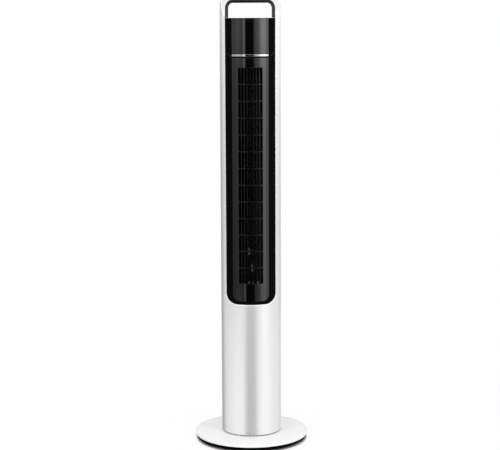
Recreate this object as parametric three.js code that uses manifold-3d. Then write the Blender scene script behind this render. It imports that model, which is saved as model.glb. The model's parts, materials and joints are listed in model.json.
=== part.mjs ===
// A tower fan: a crossflow impeller stands behind a slotted black front panel, in a round white column
// that swings on a weighted round base and ends in an arched carrying handle.
// Millimetres, +Z up, the front faces -Y, and the origin is the centre of the base on the floor.
import * as THREE from "three";
import { mergeGeometries, mergeVertices } from "three/addons/utils/BufferGeometryUtils.js";
import Module from "manifold-3d";

const wasm = await Module();
wasm.setup();

// ---- Driving dimensions -------------------------------------------------------------------------
const GAP = 0.3; // clearance between pieces that touch
const FINE = 40; // steps round the column
const BASE_STEPS = 36; // steps round the base
const COARSE = 12; // steps round a small circle
const CORNER = 6; // steps round an outline's corner

// Base
const BASE_R = 152; // edge of the white cover
const PLATE_R = 149.5; // edge of the black plate under it
const FOOT_R = 10;
const FOOT_RING_R = 131;
const FOOT_COUNT = 6;
const PLATE_Z = 3; // underside of the base plate
const PLATE_FLOOR = 3; // its thickness
const PLATE_WALL = 3;
const PLATE_TOP_Z = 14.3; // top of its wall
const PLATE_FLAT_R = 143; // its underside is flat up to here and then rises to the wall
const COVER_TOP_Z = 23.5; // the cover's highest ring, at the column
const COVER_EDGE_Z = 20.3;
const COVER_UNDER_Z = 17.4;
const COVER_RIM_R = 146; // inside of the cover's rim
const COVER_WELL_Z = 8.5; // lower end of the well's wall
const COVER_WELL_WALL = 2.6;
const BALLAST_Z = PLATE_Z + PLATE_FLOOR + GAP;
const BALLAST_R = 134;
const BALLAST_BORE_R = 62;
const BALLAST_T = 5;
const WELL_R = 58; // well in the cover that the swing gear works in
const SEAT_R = 71.3; // seat of the glide ring in the cover
const SEAT_Z = 20.2;
const CORD_Z = 10.15; // the cord's way out of the base, behind
const CORD_BORE_R = 2.2;
const CORD_HOLE_R = 3.5; // hole in the plate's wall that the grommet sits in
const CORD_WAY_HALF = 7; // half width of the cord's way through the ballast

// Swing drive
const POST_R = 14;
const POST_BORE_R = 10;
const POST_TOP_Z = 52;
const POST_FLANGE_R = 24;
const POST_FLANGE_T = 3;
const POST_FIT_R = POST_R + 0.5; // bore of what turns on the post
const GEAR_MODULE = 1.5;
const SECTOR_TEETH = 40; // of the whole circle, of which the sector has a part
const SECTOR_SPAN = 13; // teeth on the sector
const PINION_TEETH = 16;
const BACKLASH = 0.3;
const GEAR_Z = 9.6;
const GEAR_T = 6.4;
const PINION_Y = (GEAR_MODULE * (SECTOR_TEETH + PINION_TEETH)) / 2; // the pinion stands behind the post
const SECTOR_HUB_R = 22;
const PINION_SHAFT_R = 3.5;
const PINION_TOP = 29; // upper end of its shaft, from the gear's underside
const SWING_MOTOR_R = 21;
const SWING_MOTOR_H = 19;
const SWING_MOTOR_OFFSET = 8; // its shaft stands this far in front of its middle

// Column
const COLUMN_R = 80;
const WALL = 2.5;
const BORE_R = COLUMN_R - WALL; // inside of the shells
const FIT_R = BORE_R - GAP; // what stands inside them
const SEAM_ANGLE = 89.85; // the shells part just before and behind the widest line
const TURNTABLE_Z = 24.3;
const TURNTABLE_T = 3.7;
const TURNTABLE_STEPS = 28;
const TURNTABLE_RIM = 8; // height of its rim inside the shells
const TURNTABLE_HUB_R = 22;
const TURNTABLE_HUB_Z = 40;
const WASHER_T = 1.5;
const NUT_R = 20; // across the corners
const NUT_T = 6.9;
const SHELL_Z = 25.8; // lower edge of both shells
const DECK_Z = 1128.6; // top of the shells and of the control deck
const SHELL_SCREW_X = 58;
const SHELL_SCREW_Z = [60, 350];
const BOSS_R = 5.8;
const BOSS_BORE_R = 1.8;
const SCREW_HEAD_R = 3.6;
const SCREW_HEAD_Y = 12; // the heads sit this far behind the seam
const SCREW_HOLE_R = 4.3;
const LEDGE_R = 73; // how far in the duct's ledges reach
const LEDGE_T = 2;
const BOARD_RAIL_X = [-37, 35]; // rails that the power board slides into
const BOARD_RAIL_Z = [190, 312];

// Black front: a sloping bezel round a panel that lies a little deeper than the shell
const FRONT_HALF = 64.2; // half width at its outer edge
const FRONT_Z = 381; // its lowest line
const FRONT_CORNER = 27;
const LIP_DEPTH = 10; // the shell turns in round the opening by this much
const PANEL_HALF = 47.6; // half width inside the bezel
const PANEL_Z = 388.8;
const PANEL_CORNER = 16;
const PANEL_R = 76; // the panel's own radius
const PANEL_T = 2.4;
const TRIM_Z = 1030.7;
const TRIM_T = 4.9;

// Slots of the outlet and of the intake behind
const SLOT_Z = 436.5;
const SLOT_TOP_Z = 1001.8;
const OUTLET = { columns: 8, pitch: 7.9, fin: 2, rows: 13, bar: 2.2, depth: 10 };
const INTAKE = { columns: 8, pitch: 11.6, fin: 4.6, rows: 5, bar: 8 };
const INTAKE_HALF = 52;
const INTAKE_MARGIN = 7; // plain border above and below the slots

// Handle
const HANDLE_TOP_Z = 1185;
const HANDLE_CORNER = 28.7;
const HANDLE_BAND = 9.3; // white above the liner
const LINER_CORNER = 22;
const GRIP_HALF = 56.7; // half width of the hand opening
const GRIP_TOP_Z = 1168.6;
const GRIP_CORNER = 15;
const HANDLE_DEPTH = 26; // half depth at the top
const HANDLE_FOOT = 47.3; // half depth at the deck
const HANDLE_EDGE = 5; // rounding of its upper edges
const LINER_INSET = 1.2; // the liner stands back from the arch's edges by this much

// Fan
const FAN_Y = 10; // the impeller stands a little behind the column's axis
const FAN_R = 42;
const FAN_INNER_R = 32;
const FAN_Z = 438;
const FAN_TOP_Z = 999;
const FAN_CELLS = 2;
const FAN_BLADES = 12;
const FAN_DISC_T = 2.4;
const FAN_STAGGER = 15; // each cell's blades are turned this much against the last
const BLADE_T = 1.4;
const FLOOR_Z = 428; // lower plate of the air duct
const CEILING_Z = 1006; // upper plate
const DUCT_T = 3;
const MOTOR_R = 36;
const MOTOR_Z = 372;
const MOTOR_H = 46;
const MOUNT_ANGLES = [60, 180, 300]; // where the motor hangs on its rubber mounts
const MOUNT_RING_R = 42;
const SHAFT_R = 4;
const HUB_R = 16; // drive hub, where it fills the impeller's lowest disc
const PIN_R = 3;
const BEARING_R = 8;
const BOOT_R = 14;
const WIRE = new THREE.Vector2(-68, 5); // where the wires pass the duct
const WIRE_R = 2.6;

// Controls
const BUTTONS = ["oscillation", "timer", "power", "speed", "mode"];
const BUTTON_R = 7;
const BUTTON_FLANGE = 1.6; // the flange that keeps a button under the deck
const BUTTON_RING_R = 54;
const BUTTON_STEP = 20; // degrees between buttons
const DECK_T = 5;
const DECK_RECESS = 2;
const RECESS_HALF = 12; // half width of the sunk band that the buttons stand in
const RECESS_ANGLE = 52; // it ends this far round on either side
const BOARD_Z = 1104.4;
const BOARD_T = 1.6;
const SWITCH_T = 4;
const POWER_BOARD_Y = 50;

// ---- Materials ----------------------------------------------------------------------------------
const finish = (color, roughness, metalness = 0) =>
  new THREE.MeshStandardMaterial({ color, roughness, metalness });

const PEARL = finish(0xe9e9ea, 0.35);
const WHITE = finish(0xf1f1f2, 0.3);
const GLOSS_BLACK = finish(0x0b0b0c, 0.08);
const SATIN_BLACK = finish(0x08080a, 0.45);
const GRIP_BLACK = finish(0x101012, 0.3);
const MATT_BLACK = finish(0x16161a, 0.7);
const CHROME = finish(0xd8d8da, 0.12, 1);
const RUBBER = finish(0x1c1c1e, 0.9);
const STEEL = finish(0x9a9ca0, 0.35, 1);
const ZINC = finish(0xb4b8bc, 0.4, 1);
const BRONZE = finish(0xa07840, 0.4, 1);
const NYLON = finish(0xe4e0d4, 0.55);
const BOARD_GREEN = finish(0x1f5a38, 0.5);
const WIRE_GREY = finish(0x2a2a2e, 0.7);

// ---- Shape tools --------------------------------------------------------------------------------
const rad = THREE.MathUtils.degToRad;

// A point of the plan at radius r, by its angle from the front (-Y) towards +X.
const polar = (r, angle) => new THREE.Vector2(r * Math.sin(rad(angle)), -r * Math.cos(rad(angle)));

// Evenly spaced numbers from one value to another, both included.
const spread = (from, to, steps) =>
  Array.from({ length: steps + 1 }, (_, i) => from + ((to - from) * i) / steps);

const arc = (r, from, to, steps) => spread(from, to, steps).map((angle) => polar(r, angle));

// A round hole in a plan outline.
const boreRound = (r) => new THREE.Path(arc(r, 0, 360 - 360 / COARSE, COARSE - 1));

// y of the front of an upright cylinder of radius r, at x.
const frontY = (r, x) => -Math.sqrt(r * r - x * x);

// A plan outline raised from z0 to z1.
function upright(shape, z0, z1, curveSegments = CORNER) {
  const geometry = new THREE.ExtrudeGeometry(shape, { depth: z1 - z0, bevelEnabled: false, curveSegments });
  return geometry.translate(0, 0, z0);
}

// A front-view outline (x, z) carried from y0 back to y1.
function frontToBack(shape, y0, y1) {
  return upright(shape, 0, y1 - y0).rotateX(Math.PI / 2).translate(0, y1, 0);
}

// A side-view outline (y, z) carried from x0 to x1.
function sideToSide(shape, x0, x1, curveSegments) {
  const turn = new THREE.Matrix4().set(0, 0, 1, 0, 1, 0, 0, 0, 0, 1, 0, 0, 0, 0, 0, 1);
  return upright(shape, x0, x1, curveSegments).applyMatrix4(turn);
}

// A profile of [radius, z] points turned about the Z axis; it runs anticlockwise, radius to the right.
function revolve(profile, steps = COARSE) {
  const points = profile.map(([r, z]) => new THREE.Vector2(r, z));
  if (profile[0][0] > 0) points.push(points[0].clone());
  return new THREE.LatheGeometry(points, steps).rotateX(Math.PI / 2);
}

const tube = (rOut, rIn, z0, z1, steps) =>
  revolve([[rIn, z0], [rOut, z0], [rOut, z1], [rIn, z1]], steps);

const rod = (r, z0, z1, steps = COARSE) => revolve([[0, z0], [r, z0], [r, z1], [0, z1]], steps);

const block = (x0, x1, y0, y1, z0, z1) =>
  new THREE.BoxGeometry(x1 - x0, y1 - y0, z1 - z0).translate((x0 + x1) / 2, (y0 + y1) / 2, (z0 + z1) / 2);

// Part of a ring in plan, between two angles.
const sector = (rOut, rIn, from, to, steps) =>
  new THREE.Shape([...arc(rOut, from, to, steps), ...arc(rIn, to, from, steps)]);

// A strip of constant thickness along a line of plan points.
function ribbon(points, thickness) {
  const side = (sign) =>
    points.map((point, i) => {
      const before = points[Math.max(i - 1, 0)];
      const after = points[Math.min(i + 1, points.length - 1)];
      const along = after.clone().sub(before).normalize();
      const reach = (sign * thickness) / 2;
      return new THREE.Vector2(point.x - reach * along.y, point.y + reach * along.x);
    });
  return new THREE.Shape([...side(1), ...side(-1).reverse()]);
}

// A skin over rings of equal point counts, closed flat at both ends.
function loft(rings) {
  const count = rings[0].length;
  const last = (rings.length - 1) * count;
  const index = [];
  for (let i = 0; i + 1 < rings.length; i++) {
    for (let j = 0; j < count; j++) {
      const a = i * count + j;
      const b = i * count + ((j + 1) % count);
      index.push(a, b, b + count, a, b + count, a + count);
    }
  }
  for (let j = 1; j + 1 < count; j++) {
    index.push(0, j + 1, j, last, last + j, last + j + 1);
  }
  const geometry = new THREE.BufferGeometry().setFromPoints(rings.flat());
  return geometry.setIndex(index);
}

// A closed geometry as a solid that can be joined and cut, and back.
function solid(geometry) {
  const bare = geometry.clone();
  bare.deleteAttribute("normal");
  bare.deleteAttribute("uv");
  const merged = mergeVertices(bare, 1e-4);
  const vertProperties = merged.attributes.position.array;
  const triVerts = new Uint32Array(merged.index.array);
  return new wasm.Manifold(new wasm.Mesh({ numProp: 3, vertProperties, triVerts }));
}

function geometryOf(made) {
  const { vertProperties, triVerts } = made.getMesh();
  const geometry = new THREE.BufferGeometry();
  geometry.setAttribute("position", new THREE.BufferAttribute(new Float32Array(vertProperties), 3));
  geometry.setIndex(new THREE.BufferAttribute(new Uint32Array(triVerts), 1));
  return geometry;
}

const join = (first, ...rest) =>
  geometryOf(rest.reduce((sum, next) => sum.add(solid(next)), solid(first)));
const cut = (first, ...rest) =>
  geometryOf(rest.reduce((left, next) => left.subtract(solid(next)), solid(first)));
const common = (first, ...rest) =>
  geometryOf(rest.reduce((left, next) => left.intersect(solid(next)), solid(first)));

const fan = new THREE.Group();

// Adds a piece to a group under its own name.
function add(group, name, geometry, material) {
  const mesh = new THREE.Mesh(geometry, material);
  mesh.name = name;
  group.add(mesh);
  return mesh;
}

// ---- Base ---------------------------------------------------------------------------------------
function basePlate() {
  const floor = PLATE_Z + PLATE_FLOOR;
  const inside = PLATE_R - PLATE_WALL;
  const plate = revolve(
    [
      [POST_BORE_R, PLATE_Z],
      [PLATE_FLAT_R, PLATE_Z],
      [PLATE_FLAT_R + 4, PLATE_Z + 1.4],
      [PLATE_R, PLATE_Z + 5],
      [PLATE_R, PLATE_TOP_Z],
      [inside, PLATE_TOP_Z],
      [inside, floor],
      [POST_BORE_R, floor],
    ],
    BASE_STEPS,
  );
  const cordHole = rod(CORD_HOLE_R, inside - 3, PLATE_R + 3).rotateX(-Math.PI / 2);
  return cut(plate, cordHole.translate(0, 0, CORD_Z));
}

function baseCover() {
  const well = WELL_R + COVER_WELL_WALL;
  const dome = spread(0, 1, 2).map((t) => [
    THREE.MathUtils.lerp(BASE_R - 1.2, SEAT_R, t),
    COVER_EDGE_Z + (COVER_TOP_Z - COVER_EDGE_Z) * Math.sin((t * Math.PI) / 2),
  ]);
  return revolve(
    [
      [WELL_R, COVER_WELL_Z],
      [well, COVER_WELL_Z],
      [well, COVER_UNDER_Z],
      [COVER_RIM_R, COVER_UNDER_Z],
      [COVER_RIM_R, PLATE_TOP_Z + GAP],
      [BASE_R - 0.5, PLATE_TOP_Z + GAP],
      [BASE_R, COVER_EDGE_Z - 1],
      ...dome,
      [SEAT_R, SEAT_Z],
      [WELL_R, SEAT_Z],
    ],
    BASE_STEPS,
  );
}

function ballastPlate() {
  const top = BALLAST_Z + BALLAST_T;
  const ring = tube(BALLAST_R, BALLAST_BORE_R, BALLAST_Z, top, FINE / 2);
  const way = [-CORD_WAY_HALF, CORD_WAY_HALF, BALLAST_BORE_R - 5, BALLAST_R + 5];
  return cut(ring, block(...way, BALLAST_Z - 1, top + 1));
}

function foot() {
  const top = PLATE_Z - GAP;
  return revolve([[0, 0], [FOOT_R - 1, 0], [FOOT_R, 1], [FOOT_R, top], [0, top]]);
}

// A screw with its head's face at the origin, pointing up.
function screw(length) {
  const shank = BOSS_BORE_R - GAP;
  const head = [[0, 0], [SCREW_HEAD_R - 0.2, 0], [SCREW_HEAD_R, 1.3], [shank, 1.3]];
  return revolve([...head, [shank, length], [0, length]], 8);
}

// A flanged rubber bush in the wall; its axis is the cord's way out and its origin the wall's inside.
function cordGrommet() {
  const inside = -0.9;
  const outside = PLATE_WALL + GAP + 0.1;
  const neck = CORD_HOLE_R - 0.4;
  const flange = CORD_HOLE_R + 0.5;
  const [start, end] = [inside - 2.1, outside + 1.6];
  const back = [[CORD_BORE_R, start], [flange, start], [flange, inside], [neck, inside]];
  const front = [[neck, outside], [flange, outside], [flange - 0.4, end], [CORD_BORE_R, end]];
  return revolve([...back, ...front]);
}

// ---- Swing drive --------------------------------------------------------------------------------
function swivelPost() {
  const floor = PLATE_Z + PLATE_FLOOR + GAP;
  return revolve([
    [POST_BORE_R, floor],
    [POST_FLANGE_R, floor],
    [POST_FLANGE_R, floor + POST_FLANGE_T],
    [POST_R, floor + POST_FLANGE_T],
    [POST_R, POST_TOP_Z],
    [POST_BORE_R, POST_TOP_Z],
  ]);
}

// One involute tooth from its left root to its right root, as [radius, angle in degrees].
function tooth(teeth) {
  const pressure = rad(20);
  const pitchR = (GEAR_MODULE * teeth) / 2;
  const baseR = pitchR * Math.cos(pressure);
  const tipR = pitchR + GEAR_MODULE * 0.95;
  const rootR = pitchR - GEAR_MODULE * 1.25;
  const involute = (angle) => Math.tan(angle) - angle;
  const half = Math.PI / (2 * teeth) - BACKLASH / (4 * pitchR) + involute(pressure);
  const startR = Math.max(baseR, rootR);
  const flank = spread(startR, tipR, 2).map((r) => {
    const angle = half - involute(Math.acos(Math.min(1, baseR / r)));
    return [r, THREE.MathUtils.radToDeg(angle)];
  });
  const root = startR > rootR ? [[rootR, flank[0][1]]] : [];
  const right = [...root, ...flank];
  return [...right.map(([r, a]) => [r, -a]), ...right.reverse()];
}

// Teeth side by side, turned so that the middle of the run points at the given angle.
function toothRun(teeth, count, angle) {
  const step = 360 / teeth;
  return spread(-(count - 1) / 2, (count - 1) / 2, count - 1).flatMap((place) =>
    tooth(teeth).map(([r, a]) => polar(r, angle + place * step + a)),
  );
}

function sectorGear() {
  const halfSpan = (180 * SECTOR_SPAN) / SECTOR_TEETH;
  const back = arc(SECTOR_HUB_R, 180 + halfSpan, 540 - halfSpan, 10);
  const shape = new THREE.Shape([...toothRun(SECTOR_TEETH, SECTOR_SPAN, 180), ...back]);
  shape.holes.push(boreRound(POST_FIT_R));
  return upright(shape, GEAR_Z, GEAR_Z + GEAR_T);
}

// The pinion's own axis is at its group's origin; a gap between teeth points at the sector.
function pinion() {
  const teeth = new THREE.Shape(toothRun(PINION_TEETH, PINION_TEETH, 360 / PINION_TEETH));
  const shaft = rod(PINION_SHAFT_R, GEAR_T - 1, PINION_TOP);
  return join(upright(teeth, 0, GEAR_T - GAP), shaft);
}

function glideRing() {
  return tube(SEAT_R - 0.5, WELL_R + 3, SEAT_Z + GAP, TURNTABLE_Z - GAP, TURNTABLE_STEPS);
}

function turntable() {
  const top = TURNTABLE_Z + TURNTABLE_T;
  const disc = revolve(
    [
      [POST_FIT_R, TURNTABLE_Z],
      [FIT_R, TURNTABLE_Z],
      [FIT_R, top + TURNTABLE_RIM],
      [FIT_R - WALL, top + TURNTABLE_RIM],
      [FIT_R - WALL, top],
      [TURNTABLE_HUB_R, top],
      [TURNTABLE_HUB_R - 2, TURNTABLE_HUB_Z],
      [POST_FIT_R, TURNTABLE_HUB_Z],
    ],
    TURNTABLE_STEPS,
  );
  const ribs = [0, 90, 270].map((angle) =>
    block(-1, 1, 2 - FIT_R, 2 - TURNTABLE_HUB_R, top - 1, top + TURNTABLE_RIM - 2).rotateZ(rad(angle)),
  );
  return cut(join(disc, ...ribs), rod(6, TURNTABLE_Z - 4, top + 2).translate(0, PINION_Y, 0));
}

// The turntable is held down by a washer and a nut on the post.
const washerZ = TURNTABLE_HUB_Z + GAP;

const thrustWasher = () => tube(TURNTABLE_HUB_R - 1, POST_R + 0.4, washerZ, washerZ + WASHER_T);

function retainingNut() {
  const hex = new THREE.Shape(arc(NUT_R, 0, 300, 5));
  hex.holes.push(boreRound(POST_FIT_R));
  const z = washerZ + WASHER_T + GAP;
  return upright(hex, z, z + NUT_T);
}

function swingMotor() {
  const z = TURNTABLE_Z + TURNTABLE_T + GAP;
  const r = SWING_MOTOR_R;
  const top = z + SWING_MOTOR_H;
  const middle = PINION_Y + SWING_MOTOR_OFFSET;
  const can = revolve([[0, z], [r - 1, z], [r, z + 1], [r, top - 2], [r - 2, top], [0, top]], 16);
  const ears = block(-r - 7, r + 7, middle - 4, middle + 4, z, z + 1.6);
  const bore = rod(PINION_SHAFT_R + 0.6, z - 1, top - 6);
  return cut(join(can.translate(0, middle, 0), ears), bore.translate(0, PINION_Y, 0));
}

// ---- Column -------------------------------------------------------------------------------------
// A front-view U, open at the top: straight sides, round lower corners.
function uShape(half, bottom, corner, top) {
  const shape = new THREE.Shape();
  shape.moveTo(-half, top);
  shape.lineTo(-half, bottom + corner);
  shape.absarc(-half + corner, bottom + corner, corner, Math.PI, 1.5 * Math.PI);
  shape.lineTo(half - corner, bottom);
  shape.absarc(half - corner, bottom + corner, corner, 1.5 * Math.PI, 2 * Math.PI);
  shape.lineTo(half, top);
  return shape;
}

// The same upside down, standing on a level line.
function archShape(half, top, corner, bottom) {
  const shape = new THREE.Shape();
  shape.moveTo(half, bottom);
  shape.lineTo(half, top - corner);
  shape.absarc(half - corner, top - corner, corner, 0, 0.5 * Math.PI);
  shape.lineTo(-half + corner, top);
  shape.absarc(-half + corner, top - corner, corner, 0.5 * Math.PI, Math.PI);
  shape.lineTo(-half, bottom);
  return shape;
}

// Half of the column's wall, facing the front.
const halfWall = () =>
  upright(sector(COLUMN_R, BORE_R, -SEAM_ANGLE, SEAM_ANGLE, FINE / 2), SHELL_Z, DECK_Z);

// Screw bosses that meet at the seam, built facing the front.
function bosses() {
  const inside = rod(COLUMN_R - 1, 0, DECK_Z, FINE);
  return SHELL_SCREW_Z.flatMap((z) =>
    [-SHELL_SCREW_X, SHELL_SCREW_X].map((x) =>
      common(tube(BOSS_R, BOSS_BORE_R, GAP, COLUMN_R, 8).rotateX(Math.PI / 2).translate(x, 0, z), inside),
    ),
  );
}

// Ledges inside a shell that carry the duct's plates, between two angles.
const ledge = (z, from, to) =>
  upright(sector(BORE_R + 0.5, LEDGE_R, from, to, 6), z - GAP - LEDGE_T, z - GAP);

function frontShell() {
  const opening = uShape(FRONT_HALF + GAP, FRONT_Z, FRONT_CORNER, DECK_Z + 20);
  const rim = uShape(FRONT_HALF + GAP + WALL, FRONT_Z - WALL, FRONT_CORNER + WALL, DECK_Z);
  const inside = rod(COLUMN_R - 1, FRONT_Z - 20, DECK_Z, FINE);
  const lip = cut(
    common(cut(frontToBack(rim, -COLUMN_R, 0), frontToBack(opening, -COLUMN_R - 9, 9)), inside),
    inside.clone().translate(0, LIP_DEPTH, 0),
  );
  const open = cut(halfWall(), frontToBack(opening, -COLUMN_R - 9, 0));
  return join(open, lip, ...bosses());
}

function rearShell() {
  const low = SLOT_Z - INTAKE_MARGIN;
  const high = SLOT_TOP_Z + INTAKE_MARGIN;
  const window = block(-INTAKE_HALF, INTAKE_HALF, -COLUMN_R - 5, -INTAKE_HALF, low, high);
  const ledges = [FLOOR_Z, CEILING_Z].flatMap((z) => [ledge(z, 45, 87), ledge(z, -87, -45)]);
  const rails = BOARD_RAIL_X.map((x) => block(x, x + 2, 6 - BORE_R, -POWER_BOARD_Y, ...BOARD_RAIL_Z));
  const heads = SHELL_SCREW_Z.flatMap((z) =>
    [-SHELL_SCREW_X, SHELL_SCREW_X].map((x) =>
      rod(SCREW_HOLE_R, SCREW_HEAD_Y, COLUMN_R).rotateX(Math.PI / 2).translate(x, 0, z),
    ),
  );
  const shell = join(cut(halfWall(), window), ...ledges, ...rails, ...bosses());
  return cut(shell, ...heads);
}

// A curved panel with its front at radius r; its facets end at the given x.
function curvedPanel(r, thickness, stations, z0, z1) {
  const front = stations.map((x) => new THREE.Vector2(x, frontY(r, x)));
  const back = stations.map((x) => new THREE.Vector2(x, frontY(r - thickness, x)));
  return upright(new THREE.Shape([...front, ...back.reverse()]), z0, z1);
}

// Facets of a slotted panel: one per column of slots, and a few on the plain border at each side.
function slotStations(slots, half, borderSteps) {
  const edge = (slots.columns * slots.pitch) / 2;
  const left = spread(-half, -edge, borderSteps);
  const middle = spread(-edge, edge, slots.columns);
  const right = spread(edge, half, borderSteps);
  return [...left, ...middle.slice(1, -1), ...right];
}

// The slots themselves, as one bundle of boxes through the panel.
function slotBoxes(slots) {
  const cell = (SLOT_TOP_Z - SLOT_Z + slots.bar) / slots.rows;
  const width = slots.pitch - slots.fin;
  const boxes = [];
  for (let column = 0; column < slots.columns; column++) {
    const x = (column - (slots.columns - 1) / 2) * slots.pitch;
    for (let row = 0; row < slots.rows; row++) {
      const z = SLOT_Z + row * cell;
      boxes.push(block(x - width / 2, x + width / 2, -COLUMN_R - 5, -40, z, z + cell - slots.bar));
    }
  }
  return mergeGeometries(boxes);
}

function outletGrille() {
  const half = PANEL_HALF - GAP;
  const top = TRIM_Z - GAP;
  const outline = uShape(half, PANEL_Z + GAP, PANEL_CORNER, top + 5);
  const panel = common(
    curvedPanel(PANEL_R, PANEL_T, slotStations(OUTLET, half, 2), PANEL_Z, top),
    frontToBack(outline, -COLUMN_R, -40),
  );
  const edge = (OUTLET.columns * OUTLET.pitch) / 2;
  const frame = 1.6;
  const stations = [-edge - frame, ...spread(-edge, edge, OUTLET.columns), edge + frame];
  const fins = curvedPanel(PANEL_R - 1, OUTLET.depth - 1, stations, SLOT_Z - frame, SLOT_TOP_Z + frame);
  return cut(join(panel, fins), slotBoxes(OUTLET));
}

// Built facing the front and turned round to the back of the column.
function intakeGrille() {
  const half = INTAKE_HALF - 2 * GAP;
  const z0 = SLOT_Z - INTAKE_MARGIN + GAP;
  const z1 = SLOT_TOP_Z + INTAKE_MARGIN - GAP;
  return cut(curvedPanel(COLUMN_R, WALL, slotStations(INTAKE, half, 1), z0, z1), slotBoxes(INTAKE));
}

// The bezel slopes from the shell's surface in to the panel's edge, all round the U.
function frontBezel() {
  const outerR = COLUMN_R - GAP;
  const section = (outer, inner) => [
    new THREE.Vector3(outer.x, frontY(outerR, outer.x), outer.y),
    new THREE.Vector3(inner.x, frontY(PANEL_R, inner.x), inner.y),
    new THREE.Vector3(inner.x, frontY(PANEL_R, inner.x) + PANEL_T, inner.y),
    new THREE.Vector3(outer.x, frontY(outerR, outer.x) + 9, outer.y),
  ];
  const top = DECK_Z - DECK_T - GAP;
  const outerFoot = new THREE.Vector2(FRONT_HALF - FRONT_CORNER, FRONT_Z + GAP + FRONT_CORNER);
  const innerFoot = new THREE.Vector2(PANEL_HALF - PANEL_CORNER, PANEL_Z + PANEL_CORNER);
  const corner = (centre, r, angle) =>
    new THREE.Vector2(centre.x + r * Math.cos(angle), centre.y - r * Math.sin(angle));
  const right = [[new THREE.Vector2(FRONT_HALF, top), new THREE.Vector2(PANEL_HALF, top)]];
  for (const angle of spread(0, Math.PI / 2, CORNER)) {
    right.push([corner(outerFoot, FRONT_CORNER, angle), corner(innerFoot, PANEL_CORNER, angle)]);
  }
  for (const t of [0.75, 0.5, 0.25]) {
    right.push([
      new THREE.Vector2(outerFoot.x * t, FRONT_Z + GAP),
      new THREE.Vector2(innerFoot.x * t, PANEL_Z),
    ]);
  }
  const middle = [[new THREE.Vector2(0, FRONT_Z + GAP), new THREE.Vector2(0, PANEL_Z)]];
  const mirror = ([a, b]) => [new THREE.Vector2(-a.x, a.y), new THREE.Vector2(-b.x, b.y)];
  const left = right.map(mirror).reverse();
  return loft([...right, ...middle, ...left].map(([outer, inner]) => section(outer, inner)));
}

function headPanel() {
  const half = PANEL_HALF - GAP;
  const stations = spread(-half, half, 12);
  const z0 = TRIM_Z + TRIM_T + GAP;
  return curvedPanel(PANEL_R, PANEL_T, stations, z0, DECK_Z - DECK_T - GAP);
}

function trimStrip() {
  const half = PANEL_HALF - GAP;
  return curvedPanel(PANEL_R + 0.6, PANEL_T, spread(-half, half, 12), TRIM_Z, TRIM_Z + TRIM_T);
}

// ---- Handle and deck ----------------------------------------------------------------------------
// The handle seen from the side: its foot as deep as the shell's side, drawn in towards the top.
function handleSide(inset) {
  const foot = HANDLE_FOOT - inset;
  const top = HANDLE_DEPTH - inset;
  const rise = HANDLE_TOP_Z - DECK_Z;
  const shape = new THREE.Shape();
  const edge = HANDLE_EDGE;
  const waist = [top + 3, DECK_Z + rise * 0.35];
  shape.moveTo(-foot, DECK_Z - 1);
  shape.quadraticCurveTo(-waist[0], waist[1], -top, HANDLE_TOP_Z - edge);
  shape.quadraticCurveTo(1 - top, HANDLE_TOP_Z, 1 - top + edge, HANDLE_TOP_Z);
  shape.lineTo(top - 1 - edge, HANDLE_TOP_Z);
  shape.quadraticCurveTo(top - 1, HANDLE_TOP_Z, top, HANDLE_TOP_Z - edge);
  shape.quadraticCurveTo(waist[0], waist[1], foot, DECK_Z - 1);
  return sideToSide(shape, -COLUMN_R - 5, COLUMN_R + 5, 4);
}

const linerTop = HANDLE_TOP_Z - HANDLE_BAND;

function handleArch() {
  const outer = archShape(COLUMN_R + 1, HANDLE_TOP_Z, HANDLE_CORNER, DECK_Z + GAP);
  const inner = archShape(FRONT_HALF + GAP, linerTop + GAP, LINER_CORNER, DECK_Z - 5);
  const band = cut(frontToBack(outer, -60, 60), frontToBack(inner, -70, 70));
  return common(band, rod(COLUMN_R, DECK_Z - 5, HANDLE_TOP_Z + 5, FINE), handleSide(0));
}

function handleLiner() {
  const outer = archShape(FRONT_HALF, linerTop, LINER_CORNER, DECK_Z + GAP);
  const inner = archShape(GRIP_HALF, GRIP_TOP_Z, GRIP_CORNER, DECK_Z - 5);
  return common(cut(frontToBack(outer, -60, 60), frontToBack(inner, -70, 70)), handleSide(LINER_INSET));
}

// Plan of the deck: round behind, cut straight at both sides, and following the bezel in front.
function deckShape() {
  const side = FRONT_HALF - GAP;
  const corner = THREE.MathUtils.radToDeg(Math.asin(side / FIT_R));
  const rear = arc(FIT_R, 180 - corner, 180 + corner, 12);
  const front = spread(-PANEL_HALF, PANEL_HALF, 8).map((x) => new THREE.Vector2(x, frontY(PANEL_R, x)));
  const [left, right] = [-side, side].map((x) => new THREE.Vector2(x, frontY(COLUMN_R - GAP, x)));
  return new THREE.Shape([...rear, left, ...front, right]);
}

const buttonPlace = (i) => polar(BUTTON_RING_R, (i - (BUTTONS.length - 1) / 2) * BUTTON_STEP);

function topDeck() {
  const under = DECK_Z - DECK_T;
  const plate = upright(deckShape(), under, DECK_Z);
  const ring = [BUTTON_RING_R + RECESS_HALF, BUTTON_RING_R - RECESS_HALF];
  const band = sector(...ring, -RECESS_ANGLE, RECESS_ANGLE, 12);
  const recess = upright(band, DECK_Z - DECK_RECESS, DECK_Z + 5);
  const holes = BUTTONS.map((_, i) => {
    const at = buttonPlace(i);
    return rod(BUTTON_R + 0.4, under - 5, DECK_Z + 5).translate(at.x, at.y, 0);
  });
  const posts = [-35, 35].flatMap((x) =>
    [-25, 10].map((y) => rod(3, BOARD_Z + BOARD_T + GAP, under + 1, 8).translate(x, y, 0)),
  );
  return join(cut(plate, recess, ...holes), ...posts);
}

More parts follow.
